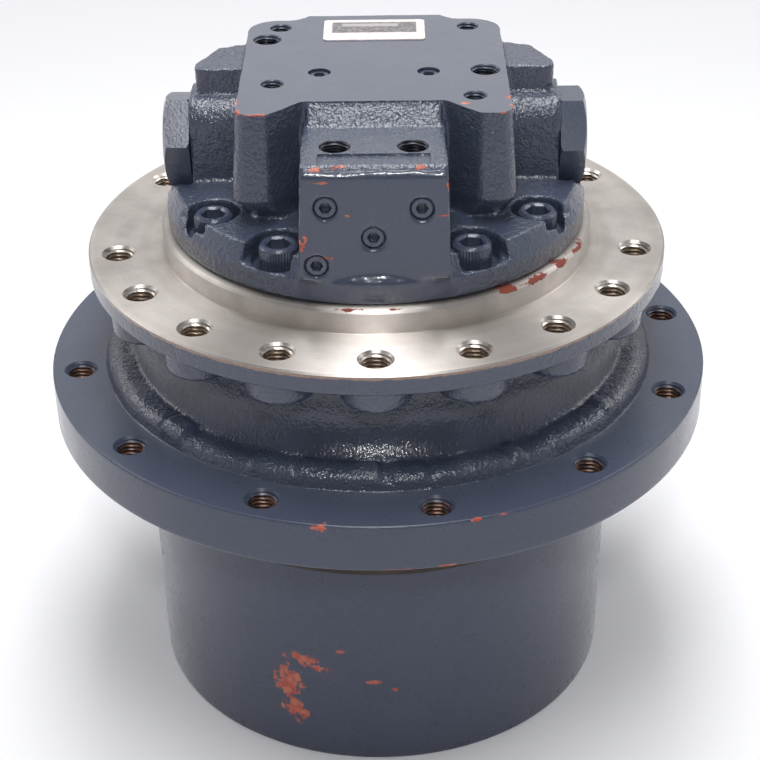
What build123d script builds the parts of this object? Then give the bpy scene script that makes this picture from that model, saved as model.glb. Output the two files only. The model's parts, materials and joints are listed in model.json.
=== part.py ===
import os
from math import acos, asin, cos, degrees, pi, radians, sin, tan

from build123d import *

# Excavator final drive: a swash-plate motor and a two-stage planetary gear in one rotating hub.
# Millimetres. The origin is the centre of the frame flange's mounting face.
# +Z points to the motor casing.
# The camera side of the drive, with the square front block, is -Y.

os.makedirs("parts", exist_ok=True)

# Clearances
running_fit = 0.1
running_gap = 0.15
loose_gap = 0.3
free_gap = 2.0

# How far a cutting shape stands out of the face that it cuts
margin = 1.0

# Frame flange and pilot
frame_flange_r = 139.4
frame_rim_depth = 10.0
frame_edge = 0.8
frame_pilot_wall = 7.5
frame_pilot_height = 11.5
frame_pilot_edge = 1.5
frame_hole_edge = 14.4
frame_hole_step_count = 18
frame_holes_left_out = (5, 13)
frame_hole_start = -90.0
frame_hole_r = 6.0
frame_hole_mouth_r = 8.2
frame_boss_inset = 2.5
frame_boss_r = 16.0
frame_boss_bottom = -20.0
frame_web_inset = 7.0
frame_web_bottom = -21.0

# Hub flange, dome and drum
hub_flange_r = 162.65
hub_flange_top = -61.7
hub_flange_depth = 23.4
hub_flange_edge = 1.0
sprocket_hole_edge = 13.95
sprocket_hole_count = 12
sprocket_hole_start = -80.0
sprocket_hole_r = 6.0
sprocket_hole_mouth_r = 8.2
dome_lip_r = 112.0
dome_lip_top = -25.0
dome_lip_wall = 6.0
dome_shoulder = -38.0
bell_waist = -50.0
bell_flare = 4.5
bead_inset = 12.7
bead_width = 7.0
bead_height = 6.7
bead_side = 1.4
bead_side_height = 4.3
valley_width = 6.5
valley_height = 5.3
sprocket_pilot_r = 122.0
sprocket_pilot_length = 33.0
drum_top_r = 118.3
drum_bottom_r = 117.0
drum_bottom = -235.0
drum_edge = 1.0
hub_bore_r = 108.0

# Floating seal
seal_plane = -34.5
skirt_r = 104.0
seat_mouth_r = 98.0
seat_root_r = 96.4
seat_depth = 10.0
seat_lead = 1.5
seal_ring_inner_r = 86.0
seal_ring_face_r = 94.0
seal_ring_face_depth = 1.6
seal_ring_ramp_root_r = 90.4
seal_ring_ramp_tip_r = 92.4
seal_ring_length = 9.0
toric_section_r = 2.6
toric_r = 94.1
spindle_neck_r = 84.0

# Main bearings: two rows of tapered rollers, back to back
journal_r = 65.0
spindle_shoulder = 7.0
bearing_outer_r = 95.0
bearing_centre = -70.5
row_offset = 12.5
contact_angle = 14.0
roller_mean_r = 5.6
roller_length = 14.0
rollers_per_row = 20
inner_ring_width = 22.0
outer_ring_width = 18.0
outer_ring_drop = 3.0
inner_rib_drop = 1.0
inner_small_rib_drop = 5.0
inner_rib_width = 2.4
hub_rib = 7.0
nut_wall = 15.0
nut_width = 7.0
nut_slot_count = 4
nut_slot_width = 10.0
nut_slot_depth = 5.0

# Gears
module = 3.0
pressure_angle = 25.0
tooth_addendum = 2.4
tooth_dedendum = 3.15
tooth_thinning = 0.12
ring_teeth = 66
sun_1_teeth = 12
planet_1_teeth = 27
planet_1_count = 3
sun_2_teeth = 18
planet_2_teeth = 24
planet_2_count = 4
planet_1_width = 22.0
planet_2_width = 28.0
planet_2_start = -90.0
planet_1_start = -90.0
ring_gear_top = -107.0
ring_gear_length = 86.0

# Fixed carrier, bolted to the end of the spindle
nose_r = 50.0
fixed_carrier_width = 14.0
carrier_bolt_inset = 7.0
carrier_bolt_count = 8
carrier_bolt_r = 4.0
carrier_bolt_head_r = 6.5
carrier_bolt_head = 8.0
carrier_bolt_length = 26.0
carrier_bolt_key = 6.0

# Pins and thrust washers of both stages
pin_1_r = 9.0
pin_2_r = 11.0
washer_width = 2.85
washer_wall = 6.0
pin_head_width = 2.5
pin_head_inset = 1.5

# Turning carrier of the first stage
carrier_1_r = 76.0
carrier_1_width = 12.0
carrier_gap = 2.0
sun_2_bore_r = 13.0
sun_2_stem_r = 22.0
sun_stem_r = 9.0

# Hub cover
cover_rim_width = 8.0
cover_width = 19.0
cover_web = 12.0
cover_boss_r = 24.0
cover_boss_height = 4.0
cover_rib_count = 6
cover_rib_width = 8.0
cover_pad_r = 12.0
cover_ring_width = 3.5
cover_ring_depth = 3.5
cover_ring_wall = 6.0
cover_ring_opening = 24.0
cover_seal_r = 1.7
cover_edge = 1.0
cover_boss_draft = 2.0
cover_rib_step = 1.0
oil_plug_circle_r = 72.0
oil_plug_r = 8.0
oil_plug_head_r = 11.0
oil_plug_head = 4.0
oil_plug_length = 11.0
oil_plug_key = 8.0
oil_plug_edge = 1.0
oil_plug_land = 2.0
oil_plug_angles = (-90.0, 0.0, 90.0)

# Motor chamber in the spindle
casing_seat_z = 6.0
casing_seat_inset = 4.0
brake_bore_r = 52.0
brake_bore_bottom = -30.0
swash_bore_r = 44.0
swash_bore_bottom = -84.0
shaft_bearing_r = 30.0
shaft_bearing_width = 16.0
shaft_seal_r = 24.0
shaft_seal_width = 7.0

# Shaft and cylinder block
shaft_r = 13.0
shaft_journal_r = 15.0
shaft_collar_r = 17.0
shaft_collar = 4.0
shaft_rear_r = 10.0
shaft_rear_end = 22.0
shaft_end = -113.0
shaft_socket_depth = 16.0
rear_bearing_r = 14.0
rear_bearing_width = 14.0
bearing_ring_wall = 5.5
valve_plate_width = 5.0
valve_plate_r = 36.0
kidney_width = 8.0
kidney_arc = 126.0
block_r = 37.0
block_bottom = -40.0
cylinder_count = 9
cylinder_circle_r = 26.0
cylinder_r = 8.0
cylinder_top = -7.0
cylinder_port_r = 4.0
block_groove_count = 8
block_groove_r = 3.0
piston_fit = 0.12
piston_length = 27.0
piston_neck_r = 3.6
piston_neck = 6.0
piston_ball_r = 5.0
spring_chamber_r = 18.0
spring_chamber_top = -16.0
block_spring_count = 6
block_spring_share = 0.4

# Swash plate and slippers
swash_angle = 14.0
ball_plane = -54.0
slipper_height = 8.0
slipper_pad_r = 8.6
slipper_pad = 3.8
slipper_neck_r = 7.2
slipper_top = 3.4
slipper_cone_spread = 3.0
slipper_cone_height = 8.0
retainer_r = 36.0
retainer_width = 3.0
retainer_hole_r = 7.6
guide_r = 15.8
guide_height = 8.0
swash_r = 38.0
swash_width = 6.0
swash_bore = 18.5
cradle_r = 28.0
cradle_inner = 21.0
cradle_outer = 34.5
cradle_length = 30.0
cradle_top = -77.6
runner_inset = 1.0
speed_piston_r = 5.0
speed_piston_y = -35.6
speed_piston_top = -77.8
speed_piston_length = 18.0
speed_bore_extra = 6.0

# Parking brake
separator_width = 2.5
friction_width = 2.4
friction_count = 3
separator_inner_r = 39.0
friction_outer_r = 50.5
friction_inner_r = 37.2
lug_r = 4.0
lug_count = 6
brake_piston_top = 2.4
brake_piston_inner_r = 41.5
brake_spring_inner_r = 43.0
brake_spring_outer_r = 51.0
brake_spring_width = 1.4
brake_spring_flat = 1.0

# Motor casing
casing_base_r = 100.0
casing_base_bottom = 12.5
casing_rim_top = 22.5
casing_deck_r = 95.0
casing_deck_top = 31.5
casing_top = 85.0
casing_half_width = 61.0
casing_back = 62.0
casing_corner_r = 14.0
casing_draft = 3.0
lobe_front = -58.0
lobe_inner = 47.0
front_notch_x = 32.0
front_notch_y = -43.0
lobe_bottom = 44.0
lobe_root = 33.0
lobe_undercut = 9.0
lobe_corner_r = 7.0
lobe_inner_r = 4.0
block_half_width_top = 31.6
block_half_width_foot = 33.2
block_top = 76.0
block_foot = 24.0
block_front_inset = 2.2
block_front_lean = 2.3
block_back = -30.0
block_edge_r = 6.0
front_slope_y = -52.0
front_slope_half_width = 30.0
ear_top = 83.5
ear_bottom = 68.0
ear_front = 1.5
ear_back = 33.6
ear_inset = 16.0
ear_corner_cut = 11.0
ear_corner_y = 10.0
ear_corner_radii = (1.0, 4.0, 8.0, 6.0, 1.0)
column_y = 8.0
column_half_width = 18.5
column_top = 71.0
column_foot = 20.0
column_inset = 13.0
column_corner_r = 12.0
casing_o_ring_inset = 12.0
casing_o_ring_section_r = 1.6
casing_o_ring_groove = 3.4

# Casing bolts and their pockets
casing_bolt_inset = 10.0
casing_bolt_angles = (30.0, 60.0, 120.0, 150.0, 210.0, 240.0, 300.0, 330.0)
open_pocket_angles = (240.0, 300.0, 60.0, 120.0)
casing_bolt_r = 6.0
casing_bolt_head_r = 9.0
casing_bolt_head = 12.0
casing_bolt_length = 35.0
casing_bolt_key = 10.0
casing_bolt_key_depth = 6.0
casing_bolt_edge = 1.0
pocket_floor = 19.0
pocket_r = 12.4
pocket_sill = 23.0
pocket_wall = 5.0
notch_width = 8.0

# Counterbalance valve across the casing
valve_z = 46.0
spool_bore_r = 11.0
spool_r = 10.9
spool_half_length = 40.0
spool_groove_r = 7.5
spool_land = 9.0
spool_spring_inner_r = 6.0
spool_spring_outer_r = 9.0
plug_across_flats = 41.0
plug_head = 12.5
plug_edge = 2.2
plug_clear_r = 25.0
plug_thread_r = 16.0
plug_thread_length = 21.0
plug_turn_left = 17.15
plug_turn_right = -34.15

# Speed valve and socket plugs on the front block, as (x, z) on its face
front_plugs = ((-21.0, 57.4), (20.5, 56.8), (-0.5, 43.5), (-25.4, 30.4))
speed_valve = front_plugs[2]
top_plugs = ((-25.2, -8.0), (25.2, -8.0))
plug_r = 5.2
plug_length = 9.0
plug_sunk = 1.2
plug_key = 5.0
plug_key_depth = 4.0
speed_spool_r = 4.2
speed_spool_length = 26.0
speed_bore_length = 42.0
speed_spring_wall = 1.0

# Holes in the top face, as (x, y, radius, depth)
top_holes = (
    (-45.6, 51.6, 4.4, 18.0),
    (45.6, 51.6, 4.4, 18.0),
    (-51.4, 35.6, 6.3, 14.0),
    (51.4, -6.4, 6.3, 14.0),
    (-46.2, -21.6, 4.5, 18.0),
    (45.4, -37.6, 4.5, 18.0),
)
top_hole_sink = 0.9
block_ports = ((-17.0, -72.5), (17.0, -72.5))
block_port_r = 5.65
block_port_depth = 16.0
block_pad = (-24.0, 24.0, -80.5, -91.0)
block_pad_depth = 1.0

# Ports on the back of the casing
main_port_x = 23.0
main_port_z = 55.0
main_port_r = 12.1
main_port_depth = 22.0
port_face_r = 19.5
port_face_depth = 1.0
drain_port_z = 72.0
drain_port_r = 7.4
drain_port_depth = 16.0
port_block_half_width = 46.0
port_block_back = 68.0
port_block_bottom = 26.0
port_block_corner_r = 9.0

# Nameplate on the top face
nameplate_half_width = 24.5
nameplate_front = 33.0
nameplate_back = 60.5
nameplate_thickness = 0.8
nameplate_corner_r = 2.0

# Radii and places that follow from the sizes above
casing_seat_r = casing_base_r - casing_seat_inset
casing_bolt_circle_r = casing_seat_r - casing_bolt_inset
casing_o_ring_r = casing_bolt_circle_r - casing_o_ring_inset
frame_pilot_r = casing_seat_r + frame_pilot_wall
frame_circle_r = frame_flange_r - frame_hole_edge
frame_boss_circle_r = frame_circle_r - frame_boss_inset
frame_web_r = frame_circle_r - frame_web_inset
sprocket_circle_r = hub_flange_r - sprocket_hole_edge
dome_bead_r = sprocket_circle_r - bead_inset
row_mean_r = (journal_r + bearing_outer_r) / 2
spindle_shoulder_r = journal_r + spindle_shoulder
inner_rib_r = row_mean_r - inner_rib_drop
inner_small_rib_r = row_mean_r - inner_small_rib_drop
hub_rib_r = bearing_outer_r - hub_rib
nut_r = journal_r + nut_wall
fixed_carrier_r = nut_r
carrier_bolt_circle_r = journal_r - carrier_bolt_inset
block_front_foot = block_front_inset - casing_base_r
block_front_top = block_front_foot + block_front_lean
ear_reach = casing_base_r - ear_inset
ear_corner_x = ear_reach - ear_corner_cut
column_reach = casing_base_r - column_inset


def turned(*points):
    """A turned solid from a closed outline of (radius, height) points."""
    outline = Polyline(*[(r, 0, z) for r, z in points], close=True)
    return revolve(make_face(outline), Axis.Z)


def straight_lines(*points):
    """Edges of an open outline through (radius, height) points."""
    return list(Polyline(*[(r, 0, z) for r, z in points]).edges())


def smooth_line(*points):
    """One smooth edge through (radius, height) points, in a list."""
    return [Spline(*[(r, 0, z) for r, z in points]).edge()]


def ring(inner, outer, low, high, edge=0.0):
    """A flat ring, with its two outer edges chamfered when edge is given."""
    if edge == 0.0:
        return turned((inner, low), (outer, low), (outer, high), (inner, high))
    return turned(
        (inner, low), (outer - edge, low), (outer, low + edge),
        (outer, high - edge), (outer - edge, high), (inner, high),
    )


def rod(radius, low, high, x=0.0, y=0.0):
    """An upright cylinder between two heights."""
    return Pos(x, y, (low + high) / 2) * Cylinder(radius, high - low)


def bar_x(radius, start, end, y, z):
    """A cylinder along X."""
    return Pos((start + end) / 2, y, z) * Rot(0, 90, 0) * Cylinder(radius, abs(end - start))


def bar_y(radius, start, end, x, z):
    """A cylinder along Y."""
    return Pos(x, (start + end) / 2, z) * Rot(90, 0, 0) * Cylinder(radius, abs(end - start))


def brick(x1, x2, y1, y2, z1, z2):
    """A block between two corners."""
    middle = ((x1 + x2) / 2, (y1 + y2) / 2, (z1 + z2) / 2)
    return Pos(*middle) * Box(abs(x2 - x1), abs(y2 - y1), abs(z2 - z1))


def hexagon(flats, low, high, turn=0.0):
    """An upright hexagonal prism, given across its flats."""
    outline = Rot(0, 0, turn) * RegularPolygon(flats / 2, 6, major_radius=False)
    return Pos(0, 0, low) * extrude(outline, high - low)


def around(piece, count, start=0.0):
    """Copies of a piece spaced evenly about the Z axis."""
    return [Rot(0, 0, start + 360 * k / count) * piece for k in range(count)]


def tapped(x, y, top, depth, radius, mouth):
    """The space of an upright hole with a countersunk mouth."""
    return turned(
        (0, top - depth), (radius, top - depth), (radius, top - (mouth - radius)), (mouth, top), (0, top)
    ).moved(Location((x, y, 0)))


# Heights that follow from the sizes above
hub_flange_bottom = hub_flange_top - hub_flange_depth
sprocket_pilot_bottom = hub_flange_bottom - sprocket_pilot_length
upper_row = bearing_centre + row_offset
inner_ring_top = upper_row + inner_ring_width / 2
inner_ring_bottom = 2 * bearing_centre - inner_ring_top
outer_ring_top = inner_ring_top - outer_ring_drop
outer_ring_bottom = outer_ring_top - outer_ring_width
nut_bottom = inner_ring_bottom - nut_width
fixed_carrier_bottom = nut_bottom - fixed_carrier_width
planet_2_top = fixed_carrier_bottom - washer_width - running_gap
planet_2_bottom = planet_2_top - planet_2_width
pin_2_bottom = planet_2_bottom - running_gap - washer_width - pin_head_width
carrier_1_top = pin_2_bottom - carrier_gap
carrier_1_bottom = carrier_1_top - carrier_1_width
planet_1_top = carrier_1_bottom - washer_width - running_gap
planet_1_bottom = planet_1_top - planet_1_width
pin_1_bottom = planet_1_bottom - running_gap - washer_width - pin_head_width
ring_gear_bottom = ring_gear_top - ring_gear_length
cover_bottom = ring_gear_bottom - cover_width
carrier_r_1 = module * (sun_1_teeth + planet_1_teeth) / 2
carrier_r_2 = module * (sun_2_teeth + planet_2_teeth) / 2
shaft_bearing_bottom = swash_bore_bottom - shaft_bearing_width
block_head = casing_seat_z - valve_plate_width - running_gap
separator_pitch = separator_width + friction_width + 2 * running_gap
stack_top = brake_bore_bottom + friction_count * separator_pitch + separator_width
swash_place = Pos(0, 0, ball_plane) * Rot(swash_angle, 0, 0)
frame_hole_angles = [
    frame_hole_start + 360 / frame_hole_step_count * k
    for k in range(frame_hole_step_count)
    if k not in frame_holes_left_out
]


def tooth_half_angle(teeth, radius, thinning):
    """Half the angle that an involute tooth takes up at a radius."""
    pitch_r = module * teeth / 2
    base_r = pitch_r * cos(radians(pressure_angle))
    at_pitch = radians(pressure_angle)
    here = acos(min(1.0, base_r / radius))
    involute = (tan(at_pitch) - at_pitch) - (tan(here) - here)
    return pi / 2 / teeth - thinning / pitch_r + involute


def gear_face(teeth, tip_r, root_r, thinning, turn):
    """The outline of a spur gear, with each flank an arc through three points of its involute."""
    base_r = module * teeth / 2 * cos(radians(pressure_angle))
    foot_r = max(root_r, base_r)
    middle_r = (foot_r + tip_r) / 2

    def at(radius, angle):
        return (radius * cos(angle), radius * sin(angle))

    def flank(r1, a1, r2, a2, r3, a3):
        return ThreePointArc(at(r1, a1), at(r2, a2), at(r3, a3))

    edges = []
    for k in range(teeth):
        axis = turn + 2 * pi * k / teeth
        foot, middle, tip = (tooth_half_angle(teeth, r, thinning) for r in (foot_r, middle_r, tip_r))
        if root_r < base_r:
            edges.append(Line(at(root_r, axis - foot), at(foot_r, axis - foot)))
        edges.append(flank(foot_r, axis - foot, middle_r, axis - middle, tip_r, axis - tip))
        edges.append(Line(at(tip_r, axis - tip), at(tip_r, axis + tip)))
        edges.append(flank(tip_r, axis + tip, middle_r, axis + middle, foot_r, axis + foot))
        if root_r < base_r:
            edges.append(Line(at(foot_r, axis + foot), at(root_r, axis + foot)))
        following = axis + 2 * pi / teeth
        edges.append(Line(at(root_r, axis + foot), at(root_r, following - foot)))
    return make_face(Wire(edges))


def spur_gear(teeth, turn, high, width):
    """A spur gear without a bore, with its upper face at a height."""
    pitch_r = module * teeth / 2
    outline = gear_face(teeth, pitch_r + tooth_addendum, pitch_r - tooth_dedendum, tooth_thinning, turn)
    return Pos(0, 0, high - width) * extrude(outline, width)


def planet_turn(teeth, place):
    """How far a planet at an angle is turned so that its teeth sit in the ring gear's spaces."""
    pitches = place / (2 * pi / ring_teeth)
    return place - pitches * 2 * pi / teeth


def sun_turn(teeth, planet_teeth, place):
    """How far a sun gear is turned so that it meshes with the planet at an angle."""
    pitch = 2 * pi / planet_teeth
    pitches = (place + pi - planet_turn(planet_teeth, place)) / pitch - 0.5
    return place + pitches * 2 * pi / teeth


def planets(count, start, teeth, radius, pin_r, high, width):
    """The planet gears of a stage, each where it turns."""
    made = []
    for k in range(count):
        place = radians(start + 360 * k / count)
        gear = spur_gear(teeth, planet_turn(teeth, place), high, width)
        gear -= rod(pin_r + running_fit, high - width, high)
        made.append(Pos(radius * cos(place), radius * sin(place), 0) * gear)
    return made


def stage_pins(count, start, radius, pin_r, high, low):
    """Headed planet pins, with each head under its lower thrust washer."""
    head_r = pin_r + washer_wall - pin_head_inset
    pin = rod(pin_r, low, high) + rod(head_r, low, low + pin_head_width)
    return around(Pos(radius, 0, 0) * pin, count, start)


def stage_washers(count, start, radius, pin_r, planet_top, planet_bottom):
    """Two thrust washers for each planet."""
    washers = []
    for low in (planet_top + running_gap, planet_bottom - running_gap - washer_width):
        washer = ring(pin_r, pin_r + washer_wall, low, low + washer_width)
        washers += around(Pos(radius, 0, 0) * washer, count, start)
    return washers


def make_spindle():
    """Frame flange, pilot, motor chamber, bearing journal and nose in one casting."""
    skirt_bottom = seal_plane + seat_lead
    ceiling = skirt_bottom + seat_depth
    body = turned(
        (brake_bore_r, casing_seat_z),
        (casing_seat_r, casing_seat_z),
        (casing_seat_r, frame_pilot_height),
        (frame_pilot_r - frame_pilot_edge, frame_pilot_height),
        (frame_pilot_r, frame_pilot_height - frame_pilot_edge),
        (frame_pilot_r, 0),
        (frame_flange_r - frame_edge, 0),
        (frame_flange_r, -frame_edge),
        (frame_flange_r, -frame_rim_depth),
        (frame_web_r, frame_web_bottom + frame_boss_r / 8),
        (frame_web_r - frame_boss_r / 8, frame_web_bottom),
        (skirt_r, frame_web_bottom),
        (skirt_r, skirt_bottom),
        (seat_mouth_r, skirt_bottom),
        (seat_root_r, ceiling),
        (spindle_neck_r, ceiling),
        (spindle_neck_r, seal_plane),
        (spindle_shoulder_r, seal_plane - seat_lead),
        (spindle_shoulder_r, inner_ring_top),
        (journal_r, inner_ring_top),
        (journal_r, nut_bottom),
        (nose_r, nut_bottom),
        (nose_r, fixed_carrier_bottom + frame_edge),
        (nose_r - frame_edge, fixed_carrier_bottom),
        (shaft_seal_r, fixed_carrier_bottom),
        (shaft_seal_r, shaft_bearing_bottom),
        (shaft_bearing_r, shaft_bearing_bottom),
        (shaft_bearing_r, swash_bore_bottom),
        (swash_bore_r, swash_bore_bottom),
        (swash_bore_r, brake_bore_bottom),
        (brake_bore_r, brake_bore_bottom),
    )
    boss = rod(frame_boss_r, frame_boss_bottom, -frame_edge, frame_boss_circle_r)
    bosses = [Rot(0, 0, angle) * boss for angle in frame_hole_angles]
    body += bosses
    body -= ring(frame_flange_r, frame_flange_r + frame_boss_r, frame_boss_bottom - frame_edge, 0)
    hole = tapped(frame_circle_r, 0, 0, -frame_boss_bottom, frame_hole_r, frame_hole_mouth_r)
    body -= [Rot(0, 0, angle) * hole for angle in frame_hole_angles]
    bolt_hole = rod(casing_bolt_r, pocket_floor - casing_bolt_length, casing_seat_z, casing_bolt_circle_r)
    body -= [Rot(0, 0, angle) * bolt_hole for angle in casing_bolt_angles]
    head_top = fixed_carrier_bottom + carrier_bolt_head
    carrier_hole = rod(carrier_bolt_r, nut_bottom, head_top + carrier_bolt_length, carrier_bolt_circle_r)
    body -= around(carrier_hole, carrier_bolt_count, planet_2_start + 180 / carrier_bolt_count)
    body -= around(rod(lug_r, brake_bore_bottom, casing_seat_z, brake_bore_r), lug_count)
    speed_bore_bottom = speed_piston_top - speed_piston_length - speed_bore_extra
    body -= rod(speed_piston_r + running_fit, speed_bore_bottom, swash_bore_bottom, 0, speed_piston_y)
    return body


def make_hub():
    """Ring gear housing with the sprocket flange, the dome over the seal and the drum."""
    seat_mouth = seal_plane - seat_lead
    seat_floor = seat_mouth - seat_depth
    rib_low = 2 * bearing_centre - outer_ring_bottom
    groove_high = cover_bottom
    groove_low = cover_bottom - cover_ring_width
    shoulder = (dome_lip_r, dome_shoulder)
    waist = (dome_lip_r + bell_flare, bell_waist)
    crest = (dome_bead_r - bead_width, hub_flange_top + bead_height)
    valley = (crest[0] - valley_width, hub_flange_top + valley_height)
    side = (dome_bead_r - bead_side, hub_flange_top + bead_side_height)
    foot = (dome_bead_r, hub_flange_top)
    bell = smooth_line(shoulder, waist, valley) + smooth_line(valley, crest, side, foot)
    rest = straight_lines(
        foot,
        (hub_flange_r - hub_flange_edge, hub_flange_top),
        (hub_flange_r, hub_flange_top - hub_flange_edge),
        (hub_flange_r, hub_flange_bottom + hub_flange_edge),
        (hub_flange_r - hub_flange_edge, hub_flange_bottom),
        (sprocket_pilot_r, hub_flange_bottom),
        (sprocket_pilot_r, sprocket_pilot_bottom + drum_edge),
        (sprocket_pilot_r - drum_edge, sprocket_pilot_bottom),
        (drum_top_r, sprocket_pilot_bottom),
        (drum_bottom_r, drum_bottom + drum_edge),
        (drum_bottom_r - drum_edge, drum_bottom),
        (hub_bore_r + drum_edge, drum_bottom),
        (hub_bore_r, drum_bottom + drum_edge),
        (hub_bore_r, groove_low),
        (hub_bore_r + cover_ring_depth, groove_low),
        (hub_bore_r + cover_ring_depth, groove_high),
        (hub_bore_r, groove_high),
        (hub_bore_r, ring_gear_top),
        (bearing_outer_r, ring_gear_top),
        (bearing_outer_r, rib_low),
        (hub_rib_r, rib_low),
        (hub_rib_r, outer_ring_bottom),
        (bearing_outer_r, outer_ring_bottom),
        (bearing_outer_r, seat_floor),
        (seat_root_r, seat_floor),
        (seat_mouth_r, seat_mouth),
        (dome_lip_r - dome_lip_wall, seat_mouth),
        (dome_lip_r - dome_lip_wall, dome_lip_top),
        (dome_lip_r - drum_edge, dome_lip_top),
        (dome_lip_r, dome_lip_top - drum_edge),
        shoulder,
    )
    body = revolve(make_face(Wire(bell + rest)), Axis.Z)
    hole = rod(sprocket_hole_r, hub_flange_bottom, hub_flange_top, sprocket_circle_r)
    mouth = sprocket_hole_mouth_r - sprocket_hole_r
    for face, inward in ((hub_flange_top, -1), (hub_flange_bottom, 1)):
        depth = face + inward * mouth
        sink = turned((0, face), (sprocket_hole_mouth_r, face), (sprocket_hole_r, depth), (0, depth))
        hole += Pos(sprocket_circle_r, 0, 0) * sink
    return body - around(hole, sprocket_hole_count, sprocket_hole_start)


def make_ring_gear():
    """Internal gear that both planet stages run in."""
    pitch_r = module * ring_teeth / 2
    blank = rod(hub_bore_r, ring_gear_bottom, ring_gear_top)
    spaces = gear_face(ring_teeth, pitch_r + tooth_dedendum, pitch_r - tooth_addendum, -tooth_thinning, 0)
    return blank - Pos(0, 0, ring_gear_bottom) * extrude(spaces, ring_gear_length)


def roller_cone():
    """The apex's depth below a row's centre, and the half angle of one roller."""
    apex = row_mean_r / tan(radians(contact_angle))
    half = asin(roller_mean_r * sin(radians(contact_angle)) / row_mean_r)
    return apex, degrees(half)


def race_radius(height, side):
    """Radius of a raceway at a height, inside the rollers for side -1 and outside for side 1."""
    apex, half = roller_cone()
    angle = radians(contact_angle + side * half)
    return (height - upper_row + apex) * tan(angle) + side * running_fit / cos(angle)


def both_rows(pieces):
    """The upper row's pieces and their mirror images below the bearing centre."""
    lower = [Pos(0, 0, 2 * bearing_centre) * mirror(piece, about=Plane.XY) for piece in pieces]
    return pieces + lower


def make_inner_rings():
    """Two bearing cones on the spindle, each with a rib at both ends of its raceway."""
    low = inner_ring_top - inner_ring_width
    race_low = low + inner_rib_width
    race_high = inner_ring_top - inner_rib_width
    cone = turned(
        (journal_r, low), (inner_small_rib_r, low), (inner_small_rib_r, race_low),
        (race_radius(race_low, -1), race_low), (race_radius(race_high, -1), race_high),
        (inner_rib_r, race_high), (inner_rib_r, inner_ring_top), (journal_r, inner_ring_top),
    )
    return both_rows([cone])


def make_outer_rings():
    """Two bearing cups in the hub."""
    cup = turned(
        (race_radius(outer_ring_bottom, 1), outer_ring_bottom), (bearing_outer_r, outer_ring_bottom),
        (bearing_outer_r, outer_ring_top), (race_radius(outer_ring_top, 1), outer_ring_top),
    )
    return both_rows([cup])


def make_rollers():
    """The tapered rollers of both rows."""
    apex, half = roller_cone()
    slope = tan(radians(half)) * roller_length / 2
    roller = Cone(roller_mean_r - slope, roller_mean_r + slope, roller_length)
    roller = Pos(row_mean_r, 0, upper_row) * Rot(0, contact_angle, 0) * roller
    return both_rows(around(roller, rollers_per_row))


def make_nut():
    """Slotted nut that holds the bearings on the journal."""
    nut = ring(journal_r, nut_r, nut_bottom, inner_ring_bottom, frame_edge)
    half = nut_slot_width / 2
    slot_top = nut_bottom + nut_slot_depth
    slot = brick(nut_r - nut_slot_depth, nut_r + margin, -half, half, nut_bottom, slot_top)
    return nut - around(slot, nut_slot_count, 180 / nut_slot_count)


def seal_half(side):
    """One metal seal ring and its rubber ring, above the seal plane for side 1 and below it for side -1."""
    face = seal_plane + side * running_gap / 2
    foot = face + side * seal_ring_face_depth
    end = face + side * seal_ring_length
    metal = turned(
        (seal_ring_inner_r, face), (seal_ring_face_r, face), (seal_ring_face_r, foot),
        (seal_ring_ramp_tip_r, foot), (seal_ring_ramp_root_r, end), (seal_ring_inner_r, end),
    )
    middle = seal_plane + side * (seat_lead + seat_depth / 2)
    rubber = Pos(0, 0, middle) * Torus(toric_r, toric_section_r)
    return metal, rubber


def make_fixed_carrier():
    """Plate on the spindle's nose that carries the second stage's planet pins."""
    plate = ring(nose_r, fixed_carrier_r, fixed_carrier_bottom, nut_bottom, frame_edge)
    pin_hole = rod(pin_2_r, fixed_carrier_bottom, nut_bottom, carrier_r_2)
    plate -= around(pin_hole, planet_2_count, planet_2_start)
    head_top = fixed_carrier_bottom + carrier_bolt_head
    hole = rod(carrier_bolt_r, fixed_carrier_bottom, nut_bottom, carrier_bolt_circle_r)
    hole += rod(carrier_bolt_head_r, fixed_carrier_bottom, head_top, carrier_bolt_circle_r)
    return plate - around(hole, carrier_bolt_count, planet_2_start + 180 / carrier_bolt_count)


def cap_screw(radius, length, head_r, head, key, key_depth):
    """A socket head screw with the underside of its head at zero and its shank below."""
    screw = rod(radius, -length, 0)
    screw += turned(
        (0, 0), (head_r, 0), (head_r, head - casing_bolt_edge), (head_r - casing_bolt_edge, head), (0, head)
    )
    return screw - hexagon(key, head - key_depth, head)


def make_carrier_bolts():
    """Screws that hold the fixed carrier, with their heads sunk in it."""
    screw = cap_screw(
        carrier_bolt_r, carrier_bolt_length, carrier_bolt_head_r, carrier_bolt_head,
        carrier_bolt_key, carrier_bolt_head / 2,
    )
    head_top = fixed_carrier_bottom + carrier_bolt_head
    screw = Pos(carrier_bolt_circle_r, 0, head_top) * Rot(180, 0, 0) * screw
    return around(screw, carrier_bolt_count, planet_2_start + 180 / carrier_bolt_count)


def make_stage_1_carrier():
    """Turning carrier between the stages, with windows between its pins."""
    plate = ring(sun_2_stem_r, carrier_1_r, carrier_1_bottom, carrier_1_top, frame_edge)
    pin_hole = rod(pin_1_r, carrier_1_bottom, carrier_1_top, carrier_r_1)
    plate -= around(pin_hole, planet_1_count, planet_1_start)
    window = rod(pin_1_r + washer_wall, carrier_1_bottom, carrier_1_top, carrier_r_1 - frame_edge)
    return plate - around(window, planet_1_count, planet_1_start + 180 / planet_1_count)


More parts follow.
